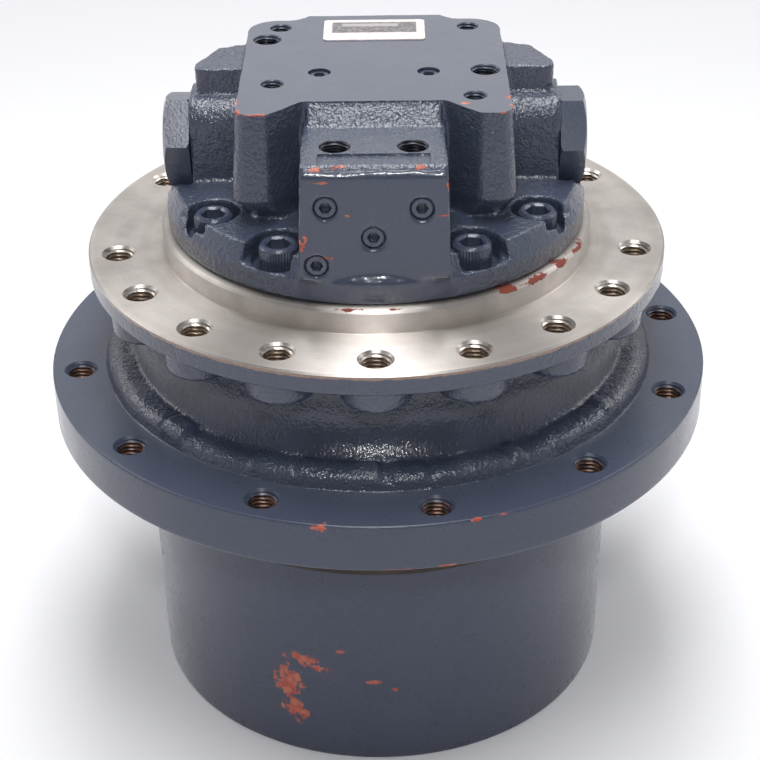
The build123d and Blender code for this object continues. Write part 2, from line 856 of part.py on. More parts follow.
def make_sun_2():
    """Hollow second-stage sun gear on the stem that fits the turning carrier."""
    turn = sun_turn(sun_2_teeth, planet_2_teeth, radians(planet_2_start))
    gear = spur_gear(sun_2_teeth, turn, planet_2_top - loose_gap, planet_2_width)
    gear += rod(sun_2_stem_r, carrier_1_bottom, planet_2_bottom)
    return gear - rod(sun_2_bore_r, carrier_1_bottom, planet_2_top)


def make_sun_1():
    """First-stage sun gear on the long stem that reaches up into the drive shaft."""
    turn = sun_turn(sun_1_teeth, planet_1_teeth, radians(planet_1_start))
    gear = spur_gear(sun_1_teeth, turn, planet_1_top, planet_1_width)
    return gear + rod(sun_stem_r, planet_1_top - frame_edge, shaft_end + shaft_socket_depth - frame_edge)


def make_cover():
    """End cover with outer ribs, three plug bosses and a thrust pad for the sun gear."""
    web_top = cover_bottom + cover_web
    pad_top = planet_1_bottom - running_gap
    rim_inner = hub_bore_r - cover_rim_width
    groove = cover_bottom + cover_web / 2
    groove_r = hub_bore_r - 2 * cover_seal_r
    groove_half = cover_seal_r + running_fit
    body = turned(
        (0, cover_bottom), (hub_bore_r - cover_edge, cover_bottom), (hub_bore_r, cover_bottom + cover_edge),
        (hub_bore_r, groove - groove_half), (groove_r, groove - groove_half),
        (groove_r, groove + groove_half), (hub_bore_r, groove + groove_half),
        (hub_bore_r, ring_gear_bottom), (rim_inner, ring_gear_bottom), (rim_inner, web_top),
        (cover_pad_r, web_top), (cover_pad_r, pad_top), (0, pad_top),
    )
    low = cover_bottom - cover_boss_height
    body += turned(
        (0, low), (cover_boss_r - cover_boss_draft, low), (cover_boss_r, cover_bottom), (0, cover_bottom)
    )
    half = cover_rib_width / 2
    rib = brick(0, rim_inner - 2 * cover_ring_wall, -half, half, low + cover_rib_step, cover_bottom)
    body += around(rib, cover_rib_count, oil_plug_angles[0] + 180 / cover_rib_count)
    boss = rod(oil_plug_head_r + oil_plug_land, low, cover_bottom, oil_plug_circle_r)
    body += [Rot(0, 0, angle) * boss for angle in oil_plug_angles]
    hole = rod(oil_plug_r, low, low + oil_plug_length, oil_plug_circle_r)
    return body - [Rot(0, 0, angle) * hole for angle in oil_plug_angles]


def make_oil_plugs():
    """Fill, level and drain plugs in the cover."""
    seat = cover_bottom - cover_boss_height
    plug = rod(oil_plug_r, seat, seat + oil_plug_length, oil_plug_circle_r)
    plug += Pos(oil_plug_circle_r, 0, 0) * turned(
        (0, seat), (oil_plug_head_r, seat), (oil_plug_head_r, seat - oil_plug_head + oil_plug_edge),
        (oil_plug_head_r - oil_plug_edge, seat - oil_plug_head), (0, seat - oil_plug_head),
    )
    key_top = seat + oil_plug_length / 3
    plug -= Pos(oil_plug_circle_r, 0, 0) * hexagon(oil_plug_key, seat - oil_plug_head, key_top)
    return [Rot(0, 0, angle) * plug for angle in oil_plug_angles]


def make_cover_ring():
    """Split ring that holds the cover in the hub."""
    low = cover_bottom - cover_ring_width
    body = ring(hub_bore_r - cover_ring_wall, hub_bore_r + cover_ring_depth, low, cover_bottom)
    half = cover_ring_opening / 2
    return body - brick(0, hub_bore_r + 2 * cover_ring_depth, -half, half, low, cover_bottom)


def make_shaft():
    """Drive shaft from the rear bearing to the socket for the sun gear's stem."""
    body = turned(
        (0, shaft_end), (shaft_r, shaft_end), (shaft_r, shaft_bearing_bottom),
        (shaft_journal_r, shaft_bearing_bottom), (shaft_journal_r, swash_bore_bottom),
        (shaft_collar_r, swash_bore_bottom), (shaft_collar_r, swash_bore_bottom + shaft_collar),
        (shaft_r, swash_bore_bottom + shaft_collar), (shaft_r, block_head),
        (shaft_rear_r, block_head), (shaft_rear_r, shaft_rear_end), (0, shaft_rear_end),
    )
    return body - rod(sun_stem_r, shaft_end, shaft_end + shaft_socket_depth)


def make_block():
    """Cylinder block with its bores, their ports, the spring chamber and the discs' grooves."""
    block = ring(shaft_r, block_r, block_bottom, block_head)
    bore = rod(cylinder_r, block_bottom, cylinder_top, cylinder_circle_r)
    bore += rod(cylinder_port_r, cylinder_top, block_head, cylinder_circle_r)
    block -= around(bore, cylinder_count, 90)
    block -= ring(shaft_r, spring_chamber_r, block_bottom, spring_chamber_top)
    groove = rod(block_groove_r, brake_bore_bottom - separator_width, block_head, block_r)
    return block - around(groove, block_groove_count)


def make_block_springs():
    """Stack of conical spring washers around the shaft in the block's chamber."""
    room = spring_chamber_top - block_bottom - guide_height / 2
    pitch = room / block_spring_count
    inner = shaft_r + loose_gap
    outer = spring_chamber_r - loose_gap
    thick = pitch * block_spring_share
    washers = []
    for k in range(block_spring_count):
        low = spring_chamber_top - (k + 1) * pitch
        high = low + pitch - thick
        start, end = (low, high) if k % 2 else (high, low)
        washers.append(turned((inner, start), (outer, end), (outer, end + thick), (inner, start + thick)))
    return washers


def make_valve_plate():
    """Port plate with two kidney slots under the casing's seat."""
    low = casing_seat_z - valve_plate_width
    plate = ring(shaft_r + running_fit, valve_plate_r, low, casing_seat_z)
    for start in (-kidney_arc / 2, 180 - kidney_arc / 2):
        slot = SlotArc(CenterArc((0, 0), cylinder_circle_r, start, kidney_arc), kidney_width)
        plate -= Pos(0, 0, low) * extrude(slot, valve_plate_width)
    return plate


def cylinder_places():
    """The piston balls' centres, straight above their places on the tilted swash plate."""
    places = []
    for k in range(cylinder_count):
        angle = radians(90 + 360 * k / cylinder_count)
        x = cylinder_circle_r * cos(angle)
        y = cylinder_circle_r * sin(angle)
        places.append((x, y, ball_plane + y * tan(radians(swash_angle))))
    return places


def make_pistons():
    """Nine pistons, each with a neck and a ball at its lower end."""
    body_low = piston_ball_r + piston_neck
    piston = rod(cylinder_r - piston_fit, body_low, body_low + piston_length)
    piston += rod(piston_neck_r, 0, body_low)
    piston += Sphere(piston_ball_r)
    piston -= rod(piston_neck_r, body_low + piston_length / 3, body_low + piston_length)
    return [Pos(*place) * piston for place in cylinder_places()]


def tilted(place):
    """A point as it lies in the swash plate's own frame, across and up its slope."""
    x, y, z = place
    rise = z - ball_plane
    angle = radians(swash_angle)
    return x, y * cos(angle) + rise * sin(angle)


def make_slippers():
    """Nine slippers, each a pad on the swash plate with a socket for its piston's ball."""
    foot = -slipper_height + running_gap
    slipper = turned(
        (0, foot), (slipper_pad_r, foot), (slipper_pad_r, foot + slipper_pad),
        (slipper_neck_r, foot + slipper_pad), (slipper_neck_r, slipper_top), (0, slipper_top),
    )
    slipper -= Sphere(piston_ball_r + running_fit)
    slipper -= Pos(0, 0, slipper_cone_height / 2) * Cone(
        piston_neck_r, piston_neck_r + slipper_cone_spread, slipper_cone_height
    )
    return [swash_place * Pos(*tilted(place), 0) * slipper for place in cylinder_places()]


def make_retainer():
    """Plate that holds the slippers down, with a spherical bore on the ball guide."""
    low = -slipper_height + running_gap + slipper_pad + running_gap
    plate = rod(retainer_r, low, low + retainer_width)
    plate -= Sphere(guide_r + running_fit)
    for place in cylinder_places():
        x, y = tilted(place)
        plate -= rod(retainer_hole_r, low, low + retainer_width, x, y)
    return swash_place * plate


def make_ball_guide():
    """Spherical guide on the shaft that centres the slipper retainer."""
    band = rod(guide_r, ball_plane - guide_height, ball_plane + guide_height)
    band = band & (Pos(0, 0, ball_plane) * Sphere(guide_r))
    return band - rod(shaft_r, ball_plane - guide_height, ball_plane + guide_height)


def make_swash_plate():
    """Swash plate with two cylindrical runners on its back."""
    face = -slipper_height
    back = face - swash_width
    plate = rod(swash_r, back, face)
    drum = bar_x(cradle_r, -cradle_outer + runner_inset, cradle_outer - runner_inset, 0, 0)
    runner_inner = cradle_inner + runner_inset
    drum -= brick(-runner_inner, runner_inner, -swash_r, swash_r, -swash_r, swash_r)
    drum -= brick(-swash_r, swash_r, -swash_r, swash_r, face, swash_r)
    plate += drum
    return swash_place * (plate - rod(swash_bore, -cradle_r, face))


def make_cradle():
    """Two bearing blocks with round troughs for the swash plate's runners."""
    blocks = []
    for side in (-1, 1):
        block = brick(
            side * cradle_inner, side * cradle_outer, -cradle_length, cradle_length,
            swash_bore_bottom, cradle_top,
        )
        block = block & rod(swash_bore_r, swash_bore_bottom, cradle_top)
        block -= bar_x(cradle_r + running_fit, -swash_bore_r, swash_bore_r, 0, ball_plane)
        block -= rod(shaft_bearing_r, swash_bore_bottom, cradle_top)
        blocks += block.solids()
    return blocks


def make_speed_piston():
    """Round-nosed piston that tips the swash plate to its second speed."""
    nose = speed_piston_top - speed_piston_r
    piston = rod(speed_piston_r, speed_piston_top - speed_piston_length, nose)
    piston += Pos(0, 0, nose) * Sphere(speed_piston_r)
    return Pos(0, speed_piston_y, 0) * piston


def stack_low(step, extra):
    """Underside of a separator plate, or of the friction disc over it, counted from the bottom."""
    return brake_bore_bottom + step * separator_pitch + extra


def make_separators():
    """Steel brake plates with lugs in the spindle's grooves."""
    plates = []
    for k in range(friction_count + 1):
        low = stack_low(k, 0)
        plate = ring(separator_inner_r, brake_bore_r - running_fit, low, low + separator_width)
        lugs = around(rod(lug_r - running_fit, low, low + separator_width, brake_bore_r), lug_count)
        plates.append(plate + lugs)
    return plates


def make_friction_discs():
    """Lined brake discs with lugs in the cylinder block's grooves."""
    discs = []
    for k in range(friction_count):
        low = stack_low(k, separator_width + running_gap)
        disc = ring(friction_inner_r, friction_outer_r, low, low + friction_width)
        lug = rod(block_groove_r - running_fit, low, low + friction_width, block_r)
        discs.append(disc + around(lug, block_groove_count))
    return discs


def make_brake_piston():
    """Ring piston that clamps the brake plates until oil pressure lifts it."""
    outer = brake_bore_r - running_fit
    return ring(brake_piston_inner_r, outer, stack_top + running_gap, brake_piston_top)


def make_brake_spring():
    """Conical spring washer between the casing and the brake piston."""
    low = brake_piston_top
    high = casing_seat_z
    return turned(
        (brake_spring_inner_r, low), (brake_spring_inner_r + brake_spring_flat, low),
        (brake_spring_outer_r, high - brake_spring_width), (brake_spring_outer_r, high),
        (brake_spring_outer_r - brake_spring_flat, high), (brake_spring_inner_r, low + brake_spring_width),
    )


def mirrored_outline(points):
    """A closed outline from its right half, given as (x, y, corner radius) from back to front."""
    left = [(-x, y, r) for x, y, r in reversed(points)]
    corners = points + left
    radii = [r for x, y, r in corners]
    path = FilletPolyline(*[(x, y) for x, y, r in corners], radius=radii, close=True)
    return make_face(path)


def casing_section(grow, lobe_in):
    """Outline of the casing's upper body, grown by the casting draft, with its front lobes drawn in."""
    return mirrored_outline([
        (casing_half_width + grow - lobe_in, casing_back, casing_corner_r),
        (casing_half_width + grow - lobe_in, lobe_front - grow + lobe_in, lobe_corner_r),
        (lobe_inner - lobe_in / 2, lobe_front - grow + lobe_in, lobe_inner_r),
        (front_notch_x - lobe_in / 3, front_notch_y + lobe_in / 3, lobe_inner_r),
    ])


def casing_core():
    """Upper body with its drafted sides, and the drawn-in neck under its lobes."""
    top = Pos(0, 0, casing_top) * casing_section(0, 0)
    waist = Pos(0, 0, lobe_bottom) * casing_section(casing_draft, 0)
    root = Pos(0, 0, lobe_root) * casing_section(casing_draft, lobe_undercut)
    foot = Pos(0, 0, casing_base_bottom) * casing_section(casing_draft, lobe_undercut)
    upper = loft([top, waist], ruled=True)
    return upper + loft([waist, root], ruled=True) + loft([root, foot], ruled=True)


def casing_block():
    """Square front block, narrower and further back at its top, with a round front edge."""
    def section(half, front, height):
        return Pos(0, (front + block_back) / 2, height) * Rectangle(2 * half, block_back - front)

    block = loft([
        section(block_half_width_foot, block_front_foot, block_foot),
        section(block_half_width_top, block_front_top, block_top),
    ])
    block = fillet(block.edges().group_by(Axis.Z)[-1].sort_by(Axis.Y)[0], block_edge_r)
    slope = Plane.YZ * make_face(Polyline(
        (front_notch_y + margin, casing_top), (front_slope_y, block_top), (block_back, block_top),
        (block_back, casing_top), close=True,
    ))
    return block + extrude(slope, front_slope_half_width, both=True)


def casing_column():
    """Arched column on the right side, which takes one end of the counterbalance valve."""
    arch = Plane.YZ * Pos(column_y, (column_foot + column_top) / 2) * Rectangle(
        2 * column_half_width, column_top - column_foot
    )
    arch = fillet(arch.vertices().group_by(Axis.Z)[-1], column_corner_r)
    return extrude(arch, column_reach)


def casing_ear():
    """Ear above the column, with its back corner cut off."""
    outline = FilletPolyline(
        (0, ear_front), (ear_reach, ear_front), (ear_reach, ear_corner_y),
        (ear_corner_x, ear_back), (0, ear_back),
        radius=ear_corner_radii, close=True,
    )
    return Pos(0, 0, ear_bottom) * extrude(make_face(outline), ear_top - ear_bottom)


def port_block():
    """Raised block on the back for the main ports."""
    face = Plane.XZ * Pos(0, (port_block_bottom + casing_top) / 2) * RectangleRounded(
        2 * port_block_half_width, casing_top - port_block_bottom, port_block_corner_r
    )
    return Pos(0, port_block_back, 0) * extrude(face, port_block_back)


def bolt_pocket(angle):
    """Space for one casing bolt's head, open to the outside over a sill."""
    space = rod(pocket_r, pocket_floor, casing_top, casing_bolt_circle_r)
    reach = casing_base_r + free_gap
    if angle in open_pocket_angles:
        space += brick(casing_bolt_circle_r, reach, -pocket_r, pocket_r, pocket_sill, casing_top)
    else:
        half = notch_width / 2
        space += brick(casing_bolt_circle_r, reach, -half, half, pocket_sill, casing_top)
        step = casing_deck_top - pocket_wall
        space += brick(casing_base_r - pocket_wall, reach, -pocket_r, pocket_r, step, casing_top)
    return Rot(0, 0, angle) * space


def socket_hole_front(x, z):
    """Space of a plug hole on the sloping front of the block."""
    return bar_y(plug_r, block_front_foot - margin, block_front_top + plug_sunk + plug_length, x, z)


def make_casing():
    """Motor casing with its valve columns, ports, bolt pockets and seat in the spindle."""
    spigot = ring(rear_bearing_r, casing_seat_r, casing_seat_z, casing_base_bottom)
    base = turned(
        (0, casing_base_bottom), (casing_base_r - frame_edge, casing_base_bottom),
        (casing_base_r, casing_base_bottom + frame_edge), (casing_base_r, casing_rim_top),
        (casing_deck_r, casing_deck_top), (0, casing_deck_top + free_gap),
    )
    body = base + casing_core() + port_block()
    right = casing_column() + casing_ear()
    body += [right, mirror(right, about=Plane.YZ)]
    body -= [bolt_pocket(angle) for angle in casing_bolt_angles]
    body += casing_block()
    body += spigot
    shank = rod(casing_bolt_r, casing_seat_z, pocket_floor, casing_bolt_circle_r)
    body -= [Rot(0, 0, angle) * shank for angle in casing_bolt_angles]
    groove_high = casing_seat_z + casing_o_ring_groove
    groove_half = casing_o_ring_section_r + running_fit
    body -= ring(casing_o_ring_r - groove_half, casing_o_ring_r + groove_half, casing_seat_z, groove_high)
    body -= rod(rear_bearing_r, casing_seat_z, shaft_rear_end + free_gap)
    body -= bar_x(spool_bore_r, -column_reach, column_reach, column_y, valve_z)
    for side in (-1, 1):
        outside = side * (casing_base_r + margin)
        body -= bar_x(plug_clear_r, side * column_reach, outside, column_y, valve_z)
        thread_end = side * (column_reach - plug_thread_length)
        body -= bar_x(plug_thread_r, thread_end, outside, column_y, valve_z)
    body -= [socket_hole_front(x, z) for x, z in front_plugs]
    spool_x, spool_z = speed_valve
    bore_start = block_front_top + plug_sunk + plug_length
    bore_end = bore_start + speed_bore_length
    body -= bar_y(speed_spool_r + running_fit, bore_start - margin, bore_end, spool_x, spool_z)
    plug_floor = casing_top - plug_sunk - plug_length
    body -= [rod(plug_r, plug_floor, casing_top + margin, x, y) for x, y in top_plugs]
    body -= [tapped(x, y, casing_top, depth, r, r + top_hole_sink) for x, y, r, depth in top_holes]
    port_mouth_r = block_port_r + top_hole_sink
    body -= [tapped(x, y, block_top, block_port_depth, block_port_r, port_mouth_r) for x, y in block_ports]
    x1, x2, y1, y2 = block_pad
    body -= brick(x1, x2, y1, y2, block_top - block_pad_depth, block_top + margin)
    back = port_block_back + margin
    for x in (-main_port_x, main_port_x):
        body -= bar_y(main_port_r, port_block_back - main_port_depth, back, x, main_port_z)
        body -= bar_y(port_face_r, port_block_back - port_face_depth, back, x, main_port_z)
    body -= bar_y(drain_port_r, port_block_back - drain_port_depth, back, 0, drain_port_z)
    return body


def make_casing_bolts():
    """Socket head screws that hold the casing on the spindle."""
    screw = cap_screw(
        casing_bolt_r, casing_bolt_length, casing_bolt_head_r, casing_bolt_head,
        casing_bolt_key, casing_bolt_key_depth,
    )
    screw = Pos(casing_bolt_circle_r, 0, pocket_floor) * screw
    return [Rot(0, 0, angle) * screw for angle in casing_bolt_angles]


def make_hexagon_plug(side, turn):
    """Hexagon plug at one end of the counterbalance valve, made along +Z and then laid along X."""
    head = hexagon(plug_across_flats, 0, plug_head)
    corner_r = plug_across_flats / 2 / cos(pi / 6)
    outer = corner_r + margin
    head = head & turned(
        (0, 0), (corner_r - plug_edge / 2, 0), (outer, plug_edge), (outer, plug_head - plug_edge),
        (plug_across_flats / 2 - plug_edge / 2, plug_head), (0, plug_head),
    )
    plug = head + rod(plug_thread_r, -plug_thread_length, 0)
    return Pos(side * column_reach, column_y, valve_z) * Rot(turn, 0, 0) * Rot(0, side * 90, 0) * plug


def socket_plug():
    """Small threaded plug with a hexagon socket, with its outer face at zero and facing +Z."""
    body = turned(
        (0, -plug_length), (plug_r, -plug_length), (plug_r, -frame_edge), (plug_r - frame_edge, 0), (0, 0)
    )
    return body - hexagon(plug_key, -plug_key_depth, 0)


def make_socket_plugs():
    """Plugs of the galleries in the front block and in the top face."""
    plugs = []
    slope = (block_front_top - block_front_foot) / (block_top - block_foot)
    for x, z in front_plugs:
        face = block_front_foot + slope * (z - block_foot)
        plugs.append(Pos(x, face + plug_sunk, z) * Rot(90, 0, 0) * socket_plug())
    plugs += [Pos(x, y, casing_top - plug_sunk) * socket_plug() for x, y in top_plugs]
    return plugs


def make_nameplate():
    """Bare plate on the top face."""
    depth = nameplate_back - nameplate_front
    outline = RectangleRounded(2 * nameplate_half_width, depth, nameplate_corner_r)
    return Pos(0, nameplate_front + depth / 2, casing_top) * extrude(outline, nameplate_thickness)


def make_counterbalance_spool():
    """Spool with a land at each end and in the middle."""
    end = spool_half_length
    land = spool_land
    spool = turned(
        (0, -end), (spool_r, -end), (spool_r, -end + land), (spool_groove_r, -end + land),
        (spool_groove_r, -land / 2), (spool_r, -land / 2), (spool_r, land / 2), (spool_groove_r, land / 2),
        (spool_groove_r, end - land), (spool_r, end - land), (spool_r, end), (0, end),
    )
    return Pos(0, column_y, valve_z) * Rot(0, 90, 0) * spool


def make_counterbalance_springs():
    """The two centring springs, as sleeves of the coils' size."""
    length = column_reach - plug_thread_length - spool_half_length
    spring = ring(spool_spring_inner_r, spool_spring_outer_r, spool_half_length, spool_half_length + length)
    return [Pos(0, column_y, valve_z) * Rot(0, turn, 0) * spring for turn in (-90, 90)]


def make_speed_spool():
    """Spool of the speed valve, behind its plug."""
    x, z = speed_valve
    start = block_front_top + plug_sunk + plug_length + free_gap
    return bar_y(speed_spool_r, start, start + speed_spool_length, x, z)


def make_speed_spring():
    """Return spring of the speed valve, as a sleeve of the coil's size."""
    x, z = speed_valve
    bore_start = block_front_top + plug_sunk + plug_length
    start = bore_start + free_gap + speed_spool_length
    end = bore_start + speed_bore_length
    outer = speed_spool_r - speed_spring_wall
    return bar_y(outer, start, end, x, z) - bar_y(outer - speed_spring_wall, start, end, x, z)


def save(name, piece):
    """Writes one node, which may be a group of separate solids."""
    shape = Compound(children=list(piece)) if isinstance(piece, (list, tuple)) else piece
    export_step(shape, f"parts/{name}.step")


fixed_metal, fixed_rubber = seal_half(1)
turning_metal, turning_rubber = seal_half(-1)
shaft_bearing_inner_r = shaft_journal_r + bearing_ring_wall
shaft_bearing_outer_r = shaft_bearing_r - bearing_ring_wall
seal_top = shaft_bearing_bottom - free_gap
groove_height = cover_bottom + cover_web / 2

casing_o_ring = Torus(casing_o_ring_r, casing_o_ring_section_r)
cover_o_ring = Torus(hub_bore_r - cover_seal_r, cover_seal_r)

nodes = {
    "spindle": make_spindle(),
    "motor_casing": make_casing(),
    "casing_bolts": make_casing_bolts(),
    "counterbalance_plugs": [
        make_hexagon_plug(-1, plug_turn_left), make_hexagon_plug(1, plug_turn_right)
    ],
    "socket_plugs": make_socket_plugs(),
    "nameplate": make_nameplate(),
    "casing_o_ring": Pos(0, 0, casing_seat_z + casing_o_ring_section_r) * casing_o_ring,
    "valve_plate": make_valve_plate(),
    "rear_shaft_bearing": ring(
        shaft_rear_r + running_fit, rear_bearing_r, shaft_rear_end - rear_bearing_width, shaft_rear_end
    ),
    "shaft_bearing_outer": ring(
        shaft_bearing_outer_r, shaft_bearing_r, shaft_bearing_bottom, swash_bore_bottom
    ),
    "shaft_bearing_inner": ring(
        shaft_journal_r, shaft_bearing_inner_r, shaft_bearing_bottom, swash_bore_bottom
    ),
    "shaft_seal": ring(shaft_r + running_fit, shaft_seal_r, seal_top - shaft_seal_width, seal_top),
    "swash_cradle": make_cradle(),
    "brake_separators": make_separators(),
    "brake_spring": make_brake_spring(),
    "brake_piston": make_brake_piston(),
    "main_bearing_inner_rings": make_inner_rings(),
    "main_bearing_outer_rings": make_outer_rings(),
    "main_bearing_rollers": make_rollers(),
    "bearing_nut": make_nut(),
    "fixed_seal_ring": fixed_metal,
    "fixed_toric_ring": fixed_rubber,
    "turning_seal_ring": turning_metal,
    "turning_toric_ring": turning_rubber,
    "fixed_carrier": make_fixed_carrier(),
    "fixed_carrier_bolts": make_carrier_bolts(),
    "stage_2_pins": stage_pins(
        planet_2_count, planet_2_start, carrier_r_2, pin_2_r, nut_bottom, pin_2_bottom
    ),
    "stage_2_washers": stage_washers(
        planet_2_count, planet_2_start, carrier_r_2, pin_2_r, planet_2_top, planet_2_bottom
    ),
    "hub": make_hub(),
    "ring_gear": make_ring_gear(),
    "hub_cover": make_cover(),
    "cover_o_ring": Pos(0, 0, groove_height) * cover_o_ring,
    "cover_retaining_ring": make_cover_ring(),
    "oil_plugs": make_oil_plugs(),
    "stage_1_carrier": make_stage_1_carrier(),
    "sun_gear_2": make_sun_2(),
    "stage_1_pins": stage_pins(
        planet_1_count, planet_1_start, carrier_r_1, pin_1_r, carrier_1_top, pin_1_bottom
    ),
    "stage_1_washers": stage_washers(
        planet_1_count, planet_1_start, carrier_r_1, pin_1_r, planet_1_top, planet_1_bottom
    ),
    "drive_shaft": make_shaft(),
    "sun_gear_1": make_sun_1(),
    "cylinder_block": make_block(),
    "block_springs": make_block_springs(),
    "friction_discs": make_friction_discs(),
    "pistons": make_pistons(),
    "ball_guide": make_ball_guide(),
    "shoe_retainer": make_retainer(),
    "slippers": make_slippers(),
    "swash_plate": make_swash_plate(),
    "speed_piston": make_speed_piston(),
    "counterbalance_spool": make_counterbalance_spool(),
    "counterbalance_springs": make_counterbalance_springs(),
    "speed_spool": make_speed_spool(),
    "speed_spring": make_speed_spring(),
}
stage_1 = planets(
    planet_1_count, planet_1_start, planet_1_teeth, carrier_r_1, pin_1_r, planet_1_top, planet_1_width
)
stage_2 = planets(
    planet_2_count, planet_2_start, planet_2_teeth, carrier_r_2, pin_2_r, planet_2_top, planet_2_width
)
for stage, gears in ((1, stage_1), (2, stage_2)):
    for number, gear in enumerate(gears, 1):
        nodes[f"stage_{stage}_planet_{number}"] = gear
for name, piece in nodes.items():
    save(name, piece)
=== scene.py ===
import json
from math import cos, hypot, pi, radians, sin

import bmesh
import bpy
import numpy as np
from mathutils import Matrix, Vector, noise


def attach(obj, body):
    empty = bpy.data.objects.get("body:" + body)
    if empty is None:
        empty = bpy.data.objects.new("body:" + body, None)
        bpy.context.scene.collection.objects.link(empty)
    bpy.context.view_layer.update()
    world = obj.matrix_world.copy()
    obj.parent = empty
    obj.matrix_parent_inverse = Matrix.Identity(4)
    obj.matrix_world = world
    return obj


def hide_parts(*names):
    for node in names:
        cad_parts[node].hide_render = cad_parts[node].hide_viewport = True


# Excavator final drive: the cast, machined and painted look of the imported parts.
# Lengths are in millimetres, and turn into metres where meshes, lamps and the camera are made.
# The origin is the centre of the frame flange's face, +Z points to the motor casing and -Y to the camera.

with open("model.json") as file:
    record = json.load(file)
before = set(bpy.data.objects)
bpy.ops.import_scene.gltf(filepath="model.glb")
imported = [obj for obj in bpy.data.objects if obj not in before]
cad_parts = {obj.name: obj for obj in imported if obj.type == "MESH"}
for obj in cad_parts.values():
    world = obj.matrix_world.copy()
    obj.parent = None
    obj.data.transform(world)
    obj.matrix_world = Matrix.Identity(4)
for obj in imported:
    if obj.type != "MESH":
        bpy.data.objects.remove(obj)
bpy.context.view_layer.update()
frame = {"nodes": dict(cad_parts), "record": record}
nodes = frame["nodes"]
mounts = {m["name"]: m for m in frame["record"]["mounts"]}
mm = 0.001
weld_distance = 0.001
round_segments = 720

# Camera, as fitted to the bolt circles in the photograph
camera_lens = 86.44
camera_sensor = 36.0
camera_clip = 50.0
camera_distance = 934.54
camera_elevation = 30.85
camera_roll = -0.78
camera_turn = 0.4
camera_target = (0.82, 0.0, -85.14)

# Frame flange, pilot and the CAD core that they are joined to
frame_flange_r = 139.4
frame_rim_depth = 10.0
frame_rim_chamfer = 0.6
frame_edge = 0.8
frame_circle_r = 125.0
frame_hole_angles = [-90 + 20 * k for k in range(18) if k not in (5, 13)]
frame_thread_depth = 24.0
pilot_r = 103.5
pilot_height = 11.5
pilot_edge = 1.5
pilot_foot = 1.5
seat_r = 96.0
seat_z = 5.8
ring_inner_r = 89.5
core_r = 90.0
core_cut_low = -34.0
core_cut_high = 30.0
core_cut_r = 170.0

# Underside of the frame flange and its bosses
boss_circle_r = 122.5
boss_r = 16.0
boss_depth = 20.0
boss_draft = 0.8
boss_top = -4.0
boss_axis_r = 0.05
web_depth = 21.0
web_r = 118.0
skirt_r = 104.0
skirt_bottom = -33.0
seal_mouth_r = 98.0

# Hub flange, dome and drum
hub_flange_r = 162.65
hub_flange_top = -61.7
hub_flange_bottom = -85.1
sprocket_circle_r = 148.7
sprocket_hole_angles = [-80 + 30 * k for k in range(12)]
sprocket_thread_depth = 30.0
sprocket_pilot_r = 122.0
sprocket_pilot_bottom = -118.1
dome_top = -25.0
drum_bottom = -235.0

# Raised pads on the dome's bead, as (start and end in degrees, height), and how fast they rise
bead_pads = (
    (190.4, 221.0, 1.5), (221.5, 228.0, 3.0), (244.6, 254.0, 1.0), (254.3, 270.6, 2.3), (273.0, 279.6, 1.2),
    (281.0, 296.0, 0.8), (297.2, 299.8, 2.8), (307.0, 322.5, 1.6), (322.8, 327.2, 3.0), (327.5, 351.0, 1.3),
    (10.0, 28.0, 1.5), (50.0, 55.0, 2.6), (78.0, 104.0, 1.5), (125.0, 130.0, 2.6), (148.0, 170.0, 1.4),
)
bead_pad_slope = 0.9

# Motor casing: its machined top, front block and shallow pad
casing_top = 85.0
block_top = 76.0
pad_half = 24.0
pad_front = -91.0
pad_back = -80.5
pad_depth = 1.0
pad_draft = 0.9
casing_voxel = 0.9
machining_allowance = 2.5
slab_r = 150.0
slab_height = 20.0

# Casing bolts
bolt_circle_r = 86.0
bolt_angles = (30, 60, 120, 150, 210, 240, 300, 330)
bolt_floor = 19.0
bolt_head_r = 9.0
bolt_head = 12.0
bolt_key = 10.0
bolt_knurls = 40
knurl_steps = 4
knurl_depth = 0.64

# Nameplate and its drive pins
plate_size = (49.0, 27.5, 0.5)
plate_y = 46.75
plate_corner_r = 2.0
pin_x = 22.6
pin_y = 50.0
pin_low = 0.49
pin_high = 0.79

# Threads, as minor and major radius and pitch, and the mouths of their holes
thread_m14 = (6.0, 7.0, 2.0)
thread_m10 = (4.3, 5.0, 1.5)
thread_g14 = (5.7, 6.58, 1.34)
m14_mouth = 8.2
casing_mouth = 0.4

# Holes in the casing, as (start of the mounts' names, height of the face, how far the casting's filling
# stands over that face, thread, depth of the thread)
casing_holes = (
    ("top_bolt", casing_top, 2.0, thread_m10, 17.0),
    ("gauge_port", casing_top, 2.0, thread_g14, 17.0),
    ("pilot_port", block_top, 0.0, thread_g14, 16.0),
)

# Lumps of a casting's skin
skin_coarse = 14.0
skin_fine = 2.6
skin_shift = Vector((7.1, 3.3, 1.7))

# Soft boxes, as (name, place, width and height, power in watts, the point that it faces)
lamps = (
    ("overhead", (0, 0, 1500), (600, 1700), 25.0, (0, 0, -60)),
    ("flash", (0, -930, 720), (120, 120), 3.2, (0, 0, -60)),
    ("behind", (0, 1750, 1000), (2200, 900), 4.5, (0, 0, 60)),
    ("left", (-1150, 750, 1150), (900, 900), 7.0, (0, 0, -100)),
    ("right", (1150, 750, 1150), (900, 900), 7.0, (0, 0, -100)),
)

# Floor, and where it turns into the backdrop
floor_half = 4000.0
backdrop_start = 600.0
backdrop_end = 1400.0

